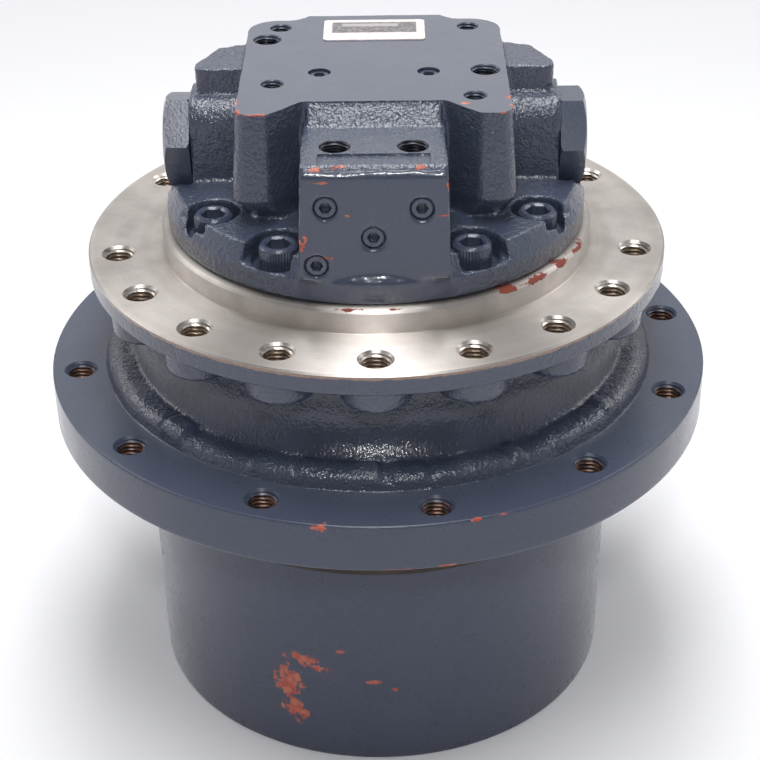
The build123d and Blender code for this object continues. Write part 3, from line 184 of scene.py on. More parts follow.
# Colours, as linear values
paint_colour = (0.050, 0.061, 0.098)
paint_dust = (0.09, 0.10, 0.135)
primer_red = (0.40, 0.055, 0.03)
primer_pink = (0.52, 0.16, 0.10)
primer_wash = (0.25, 0.06, 0.04)
worn_brown = (0.26, 0.18, 0.14)
floor_tones = (0.88, 0.88, 0.91), (0.91, 0.91, 0.94)
backdrop_colour = (0.89, 0.89, 0.93)
world_colour = (0.96, 0.98, 1.0)
# Turned iron, as its colour, its stains and its bright rings
dry_iron = (0.63, 0.59, 0.56), (0.46, 0.40, 0.35), (0.74, 0.71, 0.68)
# Turned iron made nearly black, for the band just under the hub flange
dark_iron = (0.075, 0.062, 0.055), (0.05, 0.04, 0.035), (0.11, 0.10, 0.09)

# Blotches, as (x, y, z) and the reach along each axis: primer that ran onto the pilot beside the casing
pilot_primer = [
    (60.0, -84.0, 11.0, 12.0, 8.0, 1.6), (72.0, -73.0, 10.5, 10.0, 8.0, 2.0),
    (86.0, -57.0, 10.5, 9.0, 10.0, 2.2), (94.0, -42.0, 10.8, 5.0, 9.0, 1.8),
    (-14.0, -101.5, 11.5, 9.0, 2.0, 1.2), (8.0, -102.0, 11.5, 4.0, 2.0, 1.0),
]
# Primer showing through on the hub
hub_chips = [
    (-45.5, -108.0, -192.0, 11.0, 8.0, 12.0), (-42.0, -109.0, -209.0, 9.0, 8.0, 9.0),
    (-37.0, -111.0, -175.5, 13.0, 8.0, 4.0), (-30.0, -114.0, -180.0, 9.0, 8.0, 2.6),
    (-2.8, -117.7, -185.5, 5.0, 4.0, 1.8), (7.0, -117.5, -190.5, 2.2, 3.0, 1.2),
    (-20.0, -116.0, -168.0, 3.0, 4.0, 1.4), (-25.6, -160.6, -63.3, 5.5, 4.0, 2.2),
    (43.0, -157.0, -62.2, 6.0, 2.4, 1.1), (55.0, -153.0, -62.2, 6.0, 3.0, 1.1),
    (31.5, -159.6, -84.5, 6.5, 4.0, 1.8), (10.0, -162.3, -85.0, 14.0, 3.0, 0.9),
    (120.0, -110.0, -84.8, 6.0, 6.0, 1.2),
]
# Primer showing through on the motor casing
casing_chips = [
    (-31.5, -96.5, 41.5, 4.5, 3.5, 5.0), (-34.0, -90.0, 40.0, 2.5, 6.0, 3.5),
    (-21.5, -97.5, 34.5, 6.5, 2.5, 1.1), (-22.0, -96.0, 69.5, 7.0, 2.0, 0.8),
    (-25.0, -94.0, 74.8, 3.5, 3.0, 1.2), (-15.0, -93.5, 75.4, 6.0, 3.0, 0.9),
    (20.5, -93.5, 75.2, 4.0, 3.0, 1.2), (29.5, -97.0, 54.0, 5.5, 3.0, 0.7),
    (-11.7, -96.5, 54.3, 1.8, 2.0, 0.9), (-61.5, -42.0, 84.8, 1.6, 9.0, 1.2),
    (-60.0, -55.0, 84.8, 3.0, 4.0, 1.2), (-52.0, -57.8, 84.8, 7.0, 1.4, 1.0),
    (60.8, -40.0, 84.9, 4.5, 2.4, 1.0), (61.5, -50.0, 84.6, 1.8, 7.0, 1.4),
    (57.0, -58.0, 84.8, 4.0, 1.6, 1.0), (41.0, -47.0, 84.8, 3.5, 1.8, 0.8),
    (31.5, -95.5, 68.0, 1.5, 2.5, 5.0), (-34.0, -84.0, 22.0, 8.0, 6.0, 4.0),
    (36.0, -84.0, 20.5, 5.0, 5.0, 2.0),
]


def new_object(name, mesh):
    """A mesh object in the scene."""
    made = bpy.data.objects.new(name, mesh)
    bpy.context.scene.collection.objects.link(made)
    return made


def from_arrays(name, points, faces, slots=None):
    """An object from points and faces, with a material index for each face."""
    mesh = bpy.data.meshes.new(name)
    mesh.from_pydata([tuple(p) for p in np.asarray(points) * mm], [], faces)
    if slots is not None:
        mesh.polygons.foreach_set("material_index", slots)
    mesh.update()
    return new_object(name, mesh)


def from_bmesh(name, bm):
    """An object from a bmesh, which is used up."""
    mesh = bpy.data.meshes.new(name)
    bm.to_mesh(mesh)
    bm.free()
    return new_object(name, mesh)


def welded(node):
    """A bmesh of a CAD node with its seams closed, so that it can be cut."""
    bm = bmesh.new()
    bm.from_mesh(nodes[node].data)
    bmesh.ops.remove_doubles(bm, verts=bm.verts, dist=weld_distance * mm)
    return bm


def apply_modifiers(piece):
    """Turns a piece's modifiers into its mesh."""
    graph = bpy.context.evaluated_depsgraph_get()
    mesh = bpy.data.meshes.new_from_object(piece.evaluated_get(graph))
    piece.modifiers.clear()
    old = piece.data
    piece.data = mesh
    bpy.data.meshes.remove(old)


def boolean(piece, tool, operation="DIFFERENCE"):
    """Cuts, joins or trims a piece by a tool, which is used up."""
    step = piece.modifiers.new("cut", "BOOLEAN")
    step.object = tool
    step.operation = operation
    step.solver = "MANIFOLD"
    step.material_mode = "TRANSFER"
    apply_modifiers(piece)
    bpy.data.objects.remove(tool)


def smooth_shaded(piece, angle):
    """Smooth shading, with edges sharper than an angle kept sharp."""
    bm = bmesh.new()
    bm.from_mesh(piece.data)
    bm.normal_update()
    for face in bm.faces:
        face.smooth = True
    for edge in bm.edges:
        edge.smooth = edge.calc_face_angle(0.0) < radians(angle)
    bm.to_mesh(piece.data)
    bm.free()


def rounded(corners, steps=4):
    """A closed outline of (r, z, radius, slot) corners with its corners rounded.

    Each slot belongs to the side that follows its corner.
    """
    longest_reach = 0.45
    points = []
    for k, (r, z, radius, slot) in enumerate(corners):
        here = Vector((r, z))
        to_before = Vector(corners[k - 1][:2]) - here
        to_after = Vector(corners[(k + 1) % len(corners)][:2]) - here
        reach = min(radius, to_before.length * longest_reach, to_after.length * longest_reach)
        if reach < 0.01:
            points.append((r, z, slot))
            continue
        start = here + to_before.normalized() * reach
        end = here + to_after.normalized() * reach
        for s in range(steps + 1):
            t = s / steps
            p = start * (1 - t) ** 2 + here * 2 * t * (1 - t) + end * t ** 2
            points.append((p.x, p.y, corners[k - 1][3] if t < 0.5 else slot))
    return points


def divided(points, step, fine_slot):
    """The same outline with the sides of one slot divided into short steps."""
    out = []
    for (r, z, slot), (r2, z2, _) in zip(points, points[1:] + points[:1]):
        out.append((r, z, slot))
        if slot == fine_slot:
            pieces = max(1, round(hypot(r2 - r, z2 - z) / step))
            for s in range(1, pieces):
                t = s / pieces
                out.append((r + (r2 - r) * t, z + (z2 - z) * t, slot))
    return out


def lathe(name, outline, segments, shape=None):
    """A turned mesh from a closed outline that runs anticlockwise seen with r to the right and z up."""
    r = np.array([p[0] for p in outline])[:, None] * np.ones(segments)
    z = np.array([p[1] for p in outline])[:, None] * np.ones(segments)
    angle = np.ones(len(outline))[:, None] * np.arange(segments) * 2 * pi / segments
    if shape:
        r, z = shape(r, z, angle)
    points = np.stack([r * np.cos(angle), r * np.sin(angle), z], axis=-1).reshape(-1, 3)
    rows = len(outline)
    faces = []
    slots = []
    for k in range(rows):
        low = k * segments
        high = ((k + 1) % rows) * segments
        for j in range(segments):
            j2 = (j + 1) % segments
            faces.append((low + j, low + j2, high + j2, high + j))
            slots.append(outline[k][2])
    return from_arrays(name, points, faces, slots)


def stack_faces(start, rows, segments):
    """Faces of a stack of rings of points, closed at both ends."""
    faces = []
    for k in range(rows - 1):
        low = start + k * segments
        for j in range(segments):
            j2 = (j + 1) % segments
            faces.append((low + j, low + j2, low + segments + j2, low + segments + j))
    faces.append(tuple(start + j for j in reversed(range(segments))))
    faces.append(tuple(start + (rows - 1) * segments + j for j in range(segments)))
    return faces


def roughen(piece, coarse_height, fine_height, where):
    """Moves points along their normals as a casting's skin, weighed by where(point, normal) from 0 to 1."""
    mesh = piece.data
    moved = []
    for v in mesh.vertices:
        p = v.co / mm
        weight = where(p, v.normal)
        if weight > 0:
            height = noise.noise(p / skin_coarse) * coarse_height
            height += noise.noise(p / skin_fine + skin_shift) * fine_height
            moved.append((v.index, v.normal * (height * weight * mm)))
    for index, step in moved:
        mesh.vertices[index].co += step
    mesh.update()


def thread_tool(name, places, thread, depth, mouth, material):
    """Cutter for threaded holes straight down from places on a face, each with a chamfered mouth.

    Its first column of points, from which the thread's turns are counted, is on the side of -X.
    """
    minor, major, pitch = thread
    segments = 32
    over = 1.0
    step = pitch / 6
    heights = np.arange(-depth - step / 2, over + step, step)
    points = []
    faces = []
    for place in places:
        faces += stack_faces(len(points), len(heights), segments)
        for h in heights:
            for j in range(segments):
                a = pi + 2 * pi * j / segments
                phase = (h / pitch - j / segments) % 1.0
                root = min(1.0, max(0.0, 1.6 - 3.2 * abs(phase - 0.5)))
                radius = minor + (major - minor) * root
                if h < -depth + pitch / 2:
                    radius = minor
                radius = max(radius, mouth + h)
                points.append(Vector((radius * cos(a), radius * sin(a), h)) + Vector(place))
    tool = from_arrays(name, points, faces)
    tool.data.materials.append(material)
    return tool


def add_cylinder(bm, x, y, low, high, radius, segments, top_radius=None):
    """Adds an upright cylinder, or a cone, to a bmesh."""
    bmesh.ops.create_cone(
        bm, cap_ends=True, segments=segments, radius1=radius * mm, radius2=(top_radius or radius) * mm,
        depth=(high - low) * mm, matrix=Matrix.Translation(Vector((x, y, (low + high) / 2)) * mm),
    )


def add_box(bm, size, centre):
    """Adds an upright box to a bmesh and returns its vertices."""
    box = bmesh.ops.create_cube(bm, size=mm)["verts"]
    for v in box:
        v.co = Vector((v.co.x * size[0], v.co.y * size[1], v.co.z * size[2])) + Vector(centre) * mm
    return box


def circle_places(radius, angles, z):
    """Places on a circle about the axis."""
    return [(radius * cos(radians(a)), radius * sin(radians(a)), z) for a in angles]


class Nodes:
    """Shader nodes under construction."""

    def __init__(self, tree):
        self.tree = tree

    def plug(self, value, socket):
        """Links an output to a socket, or sets the socket to a plain value."""
        if isinstance(value, bpy.types.NodeSocket):
            self.tree.links.new(value, socket)
        else:
            socket.default_value = value

    def add(self, kind, inputs=None, **settings):
        """A node with its settings made and its inputs plugged."""
        made = self.tree.nodes.new(kind)
        for name, value in settings.items():
            setattr(made, name, value)
        for socket, value in (inputs or {}).items():
            self.plug(value, made.inputs[socket])
        return made

    def math(self, operation, a, b=0.0, c=0.0):
        """A number from up to three numbers."""
        return self.add("ShaderNodeMath", {0: a, 1: b, 2: c}, operation=operation).outputs[0]

    def vector(self, operation, a, b=(0.0, 0.0, 0.0)):
        """The outputs of a vector operation."""
        return self.add("ShaderNodeVectorMath", {0: a, 1: b}, operation=operation).outputs

    def ramp(self, value, low, high, start=0.0, end=1.0):
        """Maps low..high to start..end, held at the ends."""
        made = self.add("ShaderNodeMapRange", {
            "Value": value, "From Min": low, "From Max": high, "To Min": start, "To Max": end,
        })
        return made.outputs["Result"]

    def shows_background(self):
        """1 for the rays that show the background itself, in the picture or in metal and glass."""
        rays = self.add("ShaderNodeLightPath").outputs
        either = self.math("MAXIMUM", rays["Is Camera Ray"], rays["Is Glossy Ray"])
        return self.math("MAXIMUM", either, rays["Is Transmission Ray"])


class Shade(Nodes):
    """A node material under construction, with sizes in millimetres."""

    def __init__(self, name):
        self.material = bpy.data.materials.new(name)
        self.material.use_nodes = True
        super().__init__(self.material.node_tree)
        self.surface = self.tree.nodes["Principled BSDF"]
        self.place = self.add("ShaderNodeTexCoord").outputs["Object"]

    def set(self, values):
        """Plugs the surface's own sockets by name."""
        for socket, value in values.items():
            self.plug(value, self.surface.inputs[socket])

    def noise(self, size, detail=2.0, roughness=0.5):
        """Noise with lumps of about a size, from 0 to 1."""
        made = self.add("ShaderNodeTexNoise", {
            "Vector": self.place, "Scale": 1 / (size * mm), "Detail": detail, "Roughness": roughness,
        })
        return made.outputs["Fac"]

    def mix(self, factor, a, b):
        """A colour between two, each of them an output or a linear value."""
        made = self.add("ShaderNodeMix", {"Factor": factor}, data_type="RGBA")
        for socket, colour in ((made.inputs[6], a), (made.inputs[7], b)):
            self.plug((*colour, 1.0) if isinstance(colour, tuple) else colour, socket)
        return made.outputs[2]

    def bump(self, height, size):
        """Bump of a real height."""
        made = self.add("ShaderNodeBump", {"Height": height, "Distance": size * mm, "Strength": 1.0})
        return made.outputs["Normal"]

    def along(self, axis):
        """A coordinate."""
        parts = self.add("ShaderNodeSeparateXYZ", {0: self.place})
        return self.math("MULTIPLY", parts.outputs[axis], 1 / mm)

    def radius(self):
        """Distance from the axis."""
        flat = self.vector("MULTIPLY", self.place, (1 / mm, 1 / mm, 0.0))
        return self.vector("LENGTH", flat[0])["Value"]

    def rings(self, size):
        """Noise that changes with radius and height only, as turning leaves it."""
        line = self.add("ShaderNodeCombineXYZ", {"X": self.radius(), "Y": self.along("Z")})
        made = self.add("ShaderNodeTexNoise", {"Vector": line.outputs[0], "Scale": 1 / size, "Detail": 4.0})
        return made.outputs["Fac"]

    def spots(self, places):
        """Ragged blotches about places given as (x, y, z, reach along x, y, z), from 0 to 1."""
        ragged = self.ramp(self.noise(4.2, 6.0, 0.7), 0.32, 0.68)
        total = None
        for x, y, z, a, b, c in places:
            away = self.vector("ADD", self.place, (-x * mm, -y * mm, -z * mm))
            scaled = self.vector("MULTIPLY", away[0], (1 / (a * mm), 1 / (b * mm), 1 / (c * mm)))
            near = self.ramp(self.vector("LENGTH", scaled[0])["Value"], 1.3, 0.2)
            total = self.math("MAXIMUM", total, near) if total else near
        return self.ramp(self.math("ADD", total, ragged), 1.12, 1.2)

    def window(self, centre, half_x, half_y):
        """1 inside an upright rectangle; each half size is where its edge starts and ends to fade."""
        inside = []
        for axis, middle, (start, end) in (("X", centre[0], half_x), ("Y", centre[1], half_y)):
            away = self.math("ABSOLUTE", self.math("ADD", self.along(axis), -middle))
            inside.append(self.ramp(away, start, end, 1.0, 0.0))
        return self.math("MULTIPLY", *inside)


def darker(colour, share):
    """A colour scaled by a share, and held at white."""
    return tuple(min(1.0, c * share) for c in colour)


def paint(name, grain=1.0, chips=(), skin=None, gloss=0.6, worn=None, dust=0.0):
    """Dark blue-grey enamel over primer.

    skin(shade) weighs the bumps. The paint is worn off above the height worn. dust brightens grazing views.
    """
    s = Shade(name)
    colour = s.mix(s.ramp(s.noise(30.0, 3.0), 0.35, 0.75, 0.0, 0.14), paint_colour, paint_dust)
    roughness = s.ramp(s.noise(14.0, 3.0), 0.3, 0.7, 0.25, 0.32)
    height = s.math("MULTIPLY_ADD", s.noise(3.2, 1.0), 0.55, s.noise(1.3, 1.0))
    if skin:
        height = s.math("MULTIPLY", height, skin(s))
    if chips:
        bare = s.spots(chips)
        primer = s.mix(s.ramp(s.noise(3.5, 3.0), 0.35, 0.65), primer_red, primer_pink)
        colour = s.mix(bare, colour, primer)
        roughness = s.math("MULTIPLY_ADD", bare, 0.3, roughness)
        height = s.math("MULTIPLY_ADD", bare, -0.3, height)
    if worn is not None:
        edge = s.math("MULTIPLY_ADD", s.noise(5.0, 4.0), 2.4, s.along("Z"))
        gone = s.ramp(edge, worn + 1.1, worn + 1.4)
        colour = s.mix(gone, colour, worn_brown)
        s.set({"Metallic": s.ramp(gone, 0.0, 1.0, 0.0, 0.7)})
    normal = s.bump(height, 0.5 * grain)
    s.set({
        "Base Color": colour, "Roughness": roughness, "Specular IOR Level": 0.42, "Coat Weight": gloss,
        "Coat Roughness": 0.12, "Sheen Weight": dust, "Sheen Roughness": 0.4, "Normal": normal,
        "Coat Normal": normal,
    })
    return s.material


def machined_iron(name, colours, rough, primer=()):
    """Bare turned iron with fine rings, stains, specks and primer that ran onto it.

    Its reflections are stretched across the tool marks.
    """
    colour, stain, shine = colours
    s = Shade(name)
    rings = s.rings(0.45)
    broad = s.rings(6.0)
    cloud = s.noise(26.0, 5.0, 0.62)
    speck = s.noise(2.6, 3.0, 0.6)
    shade = s.mix(s.ramp(cloud, 0.42, 0.74), colour, darker(colour, 0.74))
    shade = s.mix(s.ramp(broad, 0.4, 0.7, 0.0, 0.45), shade, stain)
    shade = s.mix(s.ramp(speck, 0.68, 0.76, 0.0, 0.6), shade, darker(stain, 0.4))
    shade = s.mix(s.ramp(rings, 0.3, 0.7, 0.0, 0.2), shade, shine)
    metallic = 1.0
    clouded = s.ramp(cloud, 0.35, 0.75, rough, rough + 0.12)
    roughness = s.math("ADD", clouded, s.ramp(rings, 0.3, 0.7, -0.03, 0.05))
    if primer:
        washed = s.spots(primer)
        shade = s.mix(washed, shade, primer_wash)
        metallic = s.ramp(washed, 0.0, 1.0, 1.0, 0.25)
        roughness = s.math("MULTIPLY_ADD", washed, 0.2, roughness)
    tangent = s.add("ShaderNodeTangent", direction_type="RADIAL", axis="Z")
    s.set({
        "Base Color": shade, "Metallic": metallic, "Roughness": roughness, "Anisotropic": 0.9,
        "Anisotropic Rotation": 0.25, "Tangent": tangent.outputs["Tangent"], "Normal": s.bump(rings, 0.006),
    })
    return s.material


def metal(name, colour, roughness, grain=0.02):
    """Bare metal with a fine grain and slow changes of tone."""
    s = Shade(name)
    s.set({
        "Base Color": s.mix(s.ramp(s.noise(16.0, 4.0), 0.3, 0.7), colour, darker(colour, 0.8)),
        "Metallic": 1.0,
        "Roughness": s.ramp(s.noise(5.0, 3.0), 0.3, 0.7, roughness * 0.8, roughness * 1.2),
        "Normal": s.bump(s.noise(0.8, 2.0), grain),
    })
    return s.material


def dull(name, colour, roughness):
    """Rubber, sintered lining and other dull stuff."""
    s = Shade(name)
    s.set({
        "Base Color": s.mix(s.ramp(s.noise(10.0, 4.0), 0.3, 0.7), colour, darker(colour, 1.5)),
        "Roughness": s.ramp(s.noise(4.0, 3.0), 0.3, 0.7, roughness * 0.9, min(1.0, roughness * 1.1)),
        "Normal": s.bump(s.noise(1.0, 2.0), 0.05),
    })
    return s.material


def thread_coat(name, top, mouth, dark, light, mouth_metal):
    """Tapped hole whose mouth differs from its darker, mottled threads; top is the height of its face."""
    s = Shade(name)
    deep = s.ramp(s.along("Z"), top - 3.6, top - 1.8, 1.0, 0.0)
    thread_tone = s.mix(s.ramp(s.noise(3.0, 3.0), 0.4, 0.65), dark, light)
    s.set({
        "Base Color": s.mix(deep, mouth, thread_tone),
        "Roughness": s.ramp(s.noise(4.0, 3.0), 0.3, 0.7, 0.26, 0.42),
        "Metallic": s.ramp(deep, 0.0, 1.0, mouth_metal, 0.6),
        "Normal": s.bump(s.noise(1.2, 2.0), 0.05),
    })
    return s.material


def nameplate_print():
    """Pale border around a worn grey field with a lighter patch, and no text."""
    s = Shade("plate_aluminium_printed")
    field = s.window((0.0, 49.8), (20.2, 20.8), (7.0, 7.6))
    patch = s.window((-2.0, 53.2), (13.0, 14.0), (1.7, 2.2))
    grey = s.mix(s.ramp(s.noise(2.2, 4.0), 0.45, 0.65), (0.15, 0.14, 0.145), (0.27, 0.25, 0.25))
    grey = s.mix(patch, grey, (0.40, 0.37, 0.37))
    border = s.mix(s.ramp(s.noise(5.0, 4.0), 0.4, 0.7), (0.80, 0.74, 0.73), (0.66, 0.58, 0.57))
    s.set({
        "Base Color": s.mix(field, border, grey),
        "Roughness": s.ramp(field, 0.0, 1.0, 0.38, 0.5),
        "Normal": s.bump(s.noise(1.0, 2.0), 0.02),
    })
    return s.material


# Materials of the CAD nodes by their slots
materials = {
    "machined_iron": machined_iron("machined_iron_turned", dry_iron, 0.40, pilot_primer),
    "housing_paint": paint("housing_paint_cast"),
    "bolt_paint": paint("bolt_paint_enamel", grain=0.5),
    "plate_aluminium": metal("plate_aluminium_satin", (0.78, 0.77, 0.75), 0.38),
    "gear_steel": metal("gear_steel_ground", (0.44, 0.44, 0.45), 0.30),
    "bearing_steel": metal("bearing_steel_polished", (0.62, 0.62, 0.63), 0.16, grain=0.006),
    "spring_steel": metal("spring_steel_black", (0.14, 0.14, 0.15), 0.40),
    "cast_seal": metal("cast_seal_lapped", (0.40, 0.39, 0.38), 0.22, grain=0.006),
    "bronze": metal("bronze_satin", (0.60, 0.40, 0.20), 0.30),
    "friction_lining": dull("friction_lining_sintered", (0.11, 0.08, 0.06), 0.80),
    "rubber": dull("rubber_matt", (0.018, 0.018, 0.018), 0.62),
}
# Materials of the pieces made here
plug_paint = paint("plug_paint_smooth", grain=0.1)
hub_paint = paint("hub_paint_cast", skin=lambda s: s.ramp(s.radius(), 119.0, 124.0, 0.45, 1.0))
drum_paint = paint("drum_paint_machined", grain=0.06, chips=hub_chips, gloss=0.0, dust=0.4)
rim_paint = paint("rim_paint_cast", grain=0.6, worn=-2.2)
casing_paint = paint(
    "casing_paint_cast", chips=casing_chips, skin=lambda s: s.ramp(s.along("Y"), -94.0, -92.5, 0.14, 1.0),
)
machined_paint = paint("machined_paint_smooth", grain=0.07, chips=casing_chips)
# Nearly black turned iron on the band just under the hub flange
bare_band = machined_iron("machined_iron_dark", dark_iron, 0.34)
# Its brown threads are partly stain and partly painted shade deep in the frame's holes.
thread_steel = thread_coat(
    "thread_steel", 0.0, (0.66, 0.62, 0.58), (0.16, 0.12, 0.09), (0.34, 0.25, 0.18), 1.0,
)
thread_primed = thread_coat(
    "thread_primed", hub_flange_top, paint_colour, (0.08, 0.06, 0.055), (0.25, 0.125, 0.09), 0.0,
)
# Its threads are nearly black, darker than the paint itself: painted shade deep in the casing's holes.
thread_dark = thread_coat(
    "thread_dark", casing_top, paint_colour, (0.022, 0.025, 0.034), (0.05, 0.052, 0.06), 0.0,
)
plate_print = nameplate_print()


def dress_cad_nodes():
    """Gives each CAD node the material of its slot, and the two large plugs a smoother paint."""
    for part in frame["record"]["subparts"]:
        node = nodes[part["node"]]
        node.data.materials.clear()
        smooth = part["node"] == "counterbalance_plugs"
        node.data.materials.append(plug_paint if smooth else materials[part["material_slot"]])


def rise(value, start, width):
    """0 up to a start, and 1 from a width after it."""
    return np.clip((value - start) / width, 0, 1)


def bead_height(angle):
    """Height of the raised pads along the dome's bead."""
    turn = np.degrees(angle) % 360
    lift = np.zeros_like(turn)
    for start, end, height in bead_pads:
        away = np.abs((turn - (start + end) / 2 + 180) % 360 - 180)
        lift = np.maximum(lift, height * np.clip(((end - start) / 2 - away) / bead_pad_slope + 0.5, 0, 1))
    return lift


def make_hub():
    """Hub with its sand-cast dome, turned drum and threaded sprocket holes."""
    cast, plain, bare = 0, 1, 2
    # Section as (radius, height, rounding, slot), from the seal's seat down the bores and up the outside.
    # Points close to a rounding keep the long faces beside it flat.
    corners = [
        (106.0, dome_top, 0.8, cast), (106.0, -36.0, 0, bare), (98.0, -36.0, 0, bare), (96.4, -46.0, 0, bare),
        (95.0, -46.0, 0, bare), (95.0, -68.0, 0, bare), (88.0, -68.0, 0, bare), (88.0, -73.0, 0, bare),
        (95.0, -73.0, 0, bare), (95.0, -107.0, 0, bare), (108.0, -107.0, 0, bare), (108.0, -212.0, 0, bare),
        (111.5, -212.0, 0, bare), (111.5, -215.5, 0, bare), (108.0, -215.5, 0, plain),
        (108.0, drum_bottom, 1.0, plain), (117.0, drum_bottom, 1.2, plain),
        (117.03, drum_bottom + 3.0, 0, plain), (118.27, sprocket_pilot_bottom - 2.7, 0, plain),
        (118.3, sprocket_pilot_bottom, 1.0, bare), (sprocket_pilot_r, sprocket_pilot_bottom, 1.0, bare),
        (sprocket_pilot_r, hub_flange_bottom, 0.8, bare), (hub_flange_r, hub_flange_bottom, 1.2, plain),
        (hub_flange_r, hub_flange_bottom + 2.8, 0, plain), (hub_flange_r, hub_flange_top - 2.8, 0, plain),
        (hub_flange_r, hub_flange_top, 1.2, plain), (hub_flange_r - 2.8, hub_flange_top, 0, plain),
        (138.0, hub_flange_top, 0, plain), (136.0, hub_flange_top, 0.8, cast),
        (134.6, -57.4, 2.5, cast), (129.0, -55.0, 4.0, cast), (122.5, -56.4, 4.0, cast),
        (116.5, -50.0, 7.0, cast), (112.5, -40.0, 6.0, cast), (112.0, dome_top, 1.2, cast),
    ]

    def shape(r, z, angle):
        bead = rise(r, 121.0, 3.0) * rise(-r, -136.2, 0.8) * rise(z, -61.6, 3.0)
        return r, z + bead * bead_height(angle)

    def where(p, n):
        """All of the bead and less of the dome."""
        r = hypot(p.x, p.y)
        if p.z < -61.5 or r < 109.0:
            return 0.0
        return 1.0 if r > 122.0 else 0.4

    hub = lathe("hub_cast", divided(rounded(corners), 1.2, cast), round_segments, shape)
    roughen(hub, 0.45, 0.22, where)
    for material in (hub_paint, drum_paint, bare_band):
        hub.data.materials.append(material)
    places = circle_places(sprocket_circle_r, sprocket_hole_angles, hub_flange_top)
    boolean(hub, thread_tool(
        "sprocket_threads", places, thread_m14, sprocket_thread_depth, m14_mouth, thread_primed,
    ))
    smooth_shaded(hub, 35)
    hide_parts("hub")
    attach(hub, "hub")


def underside_depth(r):
    """Depth of the frame flange's underside between its bosses."""
    return np.interp(r, (skirt_r, web_r, frame_flange_r), (web_depth, web_depth - 1.0, frame_rim_depth))


def joined_copies(piece, places):
    """Turns a piece's mesh into copies of it at several places."""
    bm = bmesh.new()
    for place in places:
        start = len(bm.verts)
        bm.from_mesh(piece.data)
        bm.verts.ensure_lookup_table()
        for v in bm.verts[start:]:
            v.co += Vector(place) * mm
    bm.to_mesh(piece.data)
    bm.free()


def make_bosses():
    """Round bosses under the frame flange's holes, cut flush with its rim and rough from the mould."""
    corners = [
        (0.0, -boss_depth, 0, 0), (boss_r, -boss_depth, 2.5, 0), (boss_r + boss_draft, boss_top, 0, 0),
    ]
    side = [(max(r, boss_axis_r), z, slot) for r, z, slot in divided(rounded(corners), 1.0, 0)]
    boss = lathe("bosses", side, 72)
    joined_copies(boss, circle_places(boss_circle_r, frame_hole_angles, 0.0))
    rim = [(60.0, -30.0, 0), (frame_flange_r, -30.0, 0), (frame_flange_r, 0, 0), (60.0, 0, 0)]
    boolean(boss, lathe("rim_region", rim, round_segments), "INTERSECT")
    roughen(boss, 0.3, 0.14, lambda p, n: 1.0 if n.z > -0.7 or p.z < -12.0 else 0.5)
    boss.data.materials.append(rim_paint)
    return boss


def make_spindle():
    """Spindle with its bare machined face, painted rim and cast bosses, around the CAD core."""
    painted, bare = 0, 1
    corners = [
        (ring_inner_r, seat_z, 0, bare), (ring_inner_r, skirt_bottom + 1.0, 0, painted),
        (seal_mouth_r, skirt_bottom, 0, painted), (skirt_r, skirt_bottom, 1.0, painted),
        (skirt_r, -web_depth - 0.01, 0, painted),
        (frame_flange_r - frame_rim_chamfer, -frame_rim_depth, 0, painted),
        (frame_flange_r, -frame_rim_depth + frame_rim_chamfer, 0, painted),
        (frame_flange_r, -frame_edge, 0, bare), (frame_flange_r - frame_edge, 0.0, 0, bare),
        (pilot_r + pilot_foot, 0.0, 0, bare), (pilot_r, 0.0, 0.6, bare), (pilot_r, pilot_foot, 0, bare),
        (pilot_r, pilot_height - pilot_edge - 1.0, 0, bare), (pilot_r, pilot_height - pilot_edge, 0.3, bare),
        (pilot_r - pilot_edge, pilot_height, 0.3, bare), (seat_r, pilot_height, 0.2, bare),
        (seat_r, seat_z, 0, bare),
    ]
    fine = rounded(corners)
    outline = []
    for (r, z, slot), (r2, _, _) in zip(fine, fine[1:] + fine[:1]):
        outline.append((r, z, slot))
        if abs(r - skirt_r) < 0.1 and r2 > web_r:
            steps = round(r2 - r)
            outline += [(r + (r2 - r) * k / steps, -web_depth, painted) for k in range(1, steps)]

    def shape(r, z, angle):
        return r, np.where(z == -web_depth, -underside_depth(r), z)

    def where(p, n):
        return 1.0 if p.z < -11.0 and hypot(p.x, p.y) > skirt_r + 0.5 else 0.0

    ring = lathe("spindle_dressed", outline, round_segments, shape)
    ring.data.materials.append(rim_paint)
    ring.data.materials.append(materials["machined_iron"])
    roughen(ring, 0.3, 0.16, where)
    core = from_bmesh("spindle_core", welded("spindle"))
    outside = [
        (core_r, core_cut_low, 0), (core_cut_r, core_cut_low, 0), (core_cut_r, core_cut_high, 0),
        (core_r, core_cut_high, 0),
    ]
    boolean(core, lathe("outer_region", outside, 360))
    core.data.materials.clear()
    core.data.materials.append(materials["gear_steel"])
    boolean(ring, make_bosses(), "UNION")
    boolean(ring, core, "UNION")
    places = circle_places(frame_circle_r, frame_hole_angles, 0.0)
    boolean(ring, thread_tool(
        "frame_threads", places, thread_m14, frame_thread_depth, m14_mouth, thread_steel,
    ))
    smooth_shaded(ring, 32)
    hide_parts("spindle")
    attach(ring, "frame")


def mounts_of(start):
    """(x, y, radius, length) of the mounts whose names start with a word."""
    found = []
    for name, mount in mounts.items():
        if name.startswith(start):
            x, y, _ = Vector(mount["pos_m"]) / mm
            found.append((x, y, mount["dims"]["r_mm"], mount["dims"]["length_mm"]))
    return found


def pad_tool():
    """Cutter for the shallow pad on the front block's top, with drafted sides."""
    points = []
    for z, spread in ((block_top - pad_depth, 0.0), (block_top + 2.0, pad_draft)):
        x = pad_half + spread
        front = pad_front - spread
        back = pad_back + spread
        points += [(-x, front, z), (x, front, z), (x, back, z), (-x, back, z)]
    faces = [(3, 2, 1, 0), (4, 5, 6, 7), (0, 1, 5, 4), (1, 2, 6, 5), (2, 3, 7, 6), (3, 0, 4, 7)]
    tool = from_arrays("pad_tool", points, faces)
    tool.data.materials.append(casing_paint)
    return tool


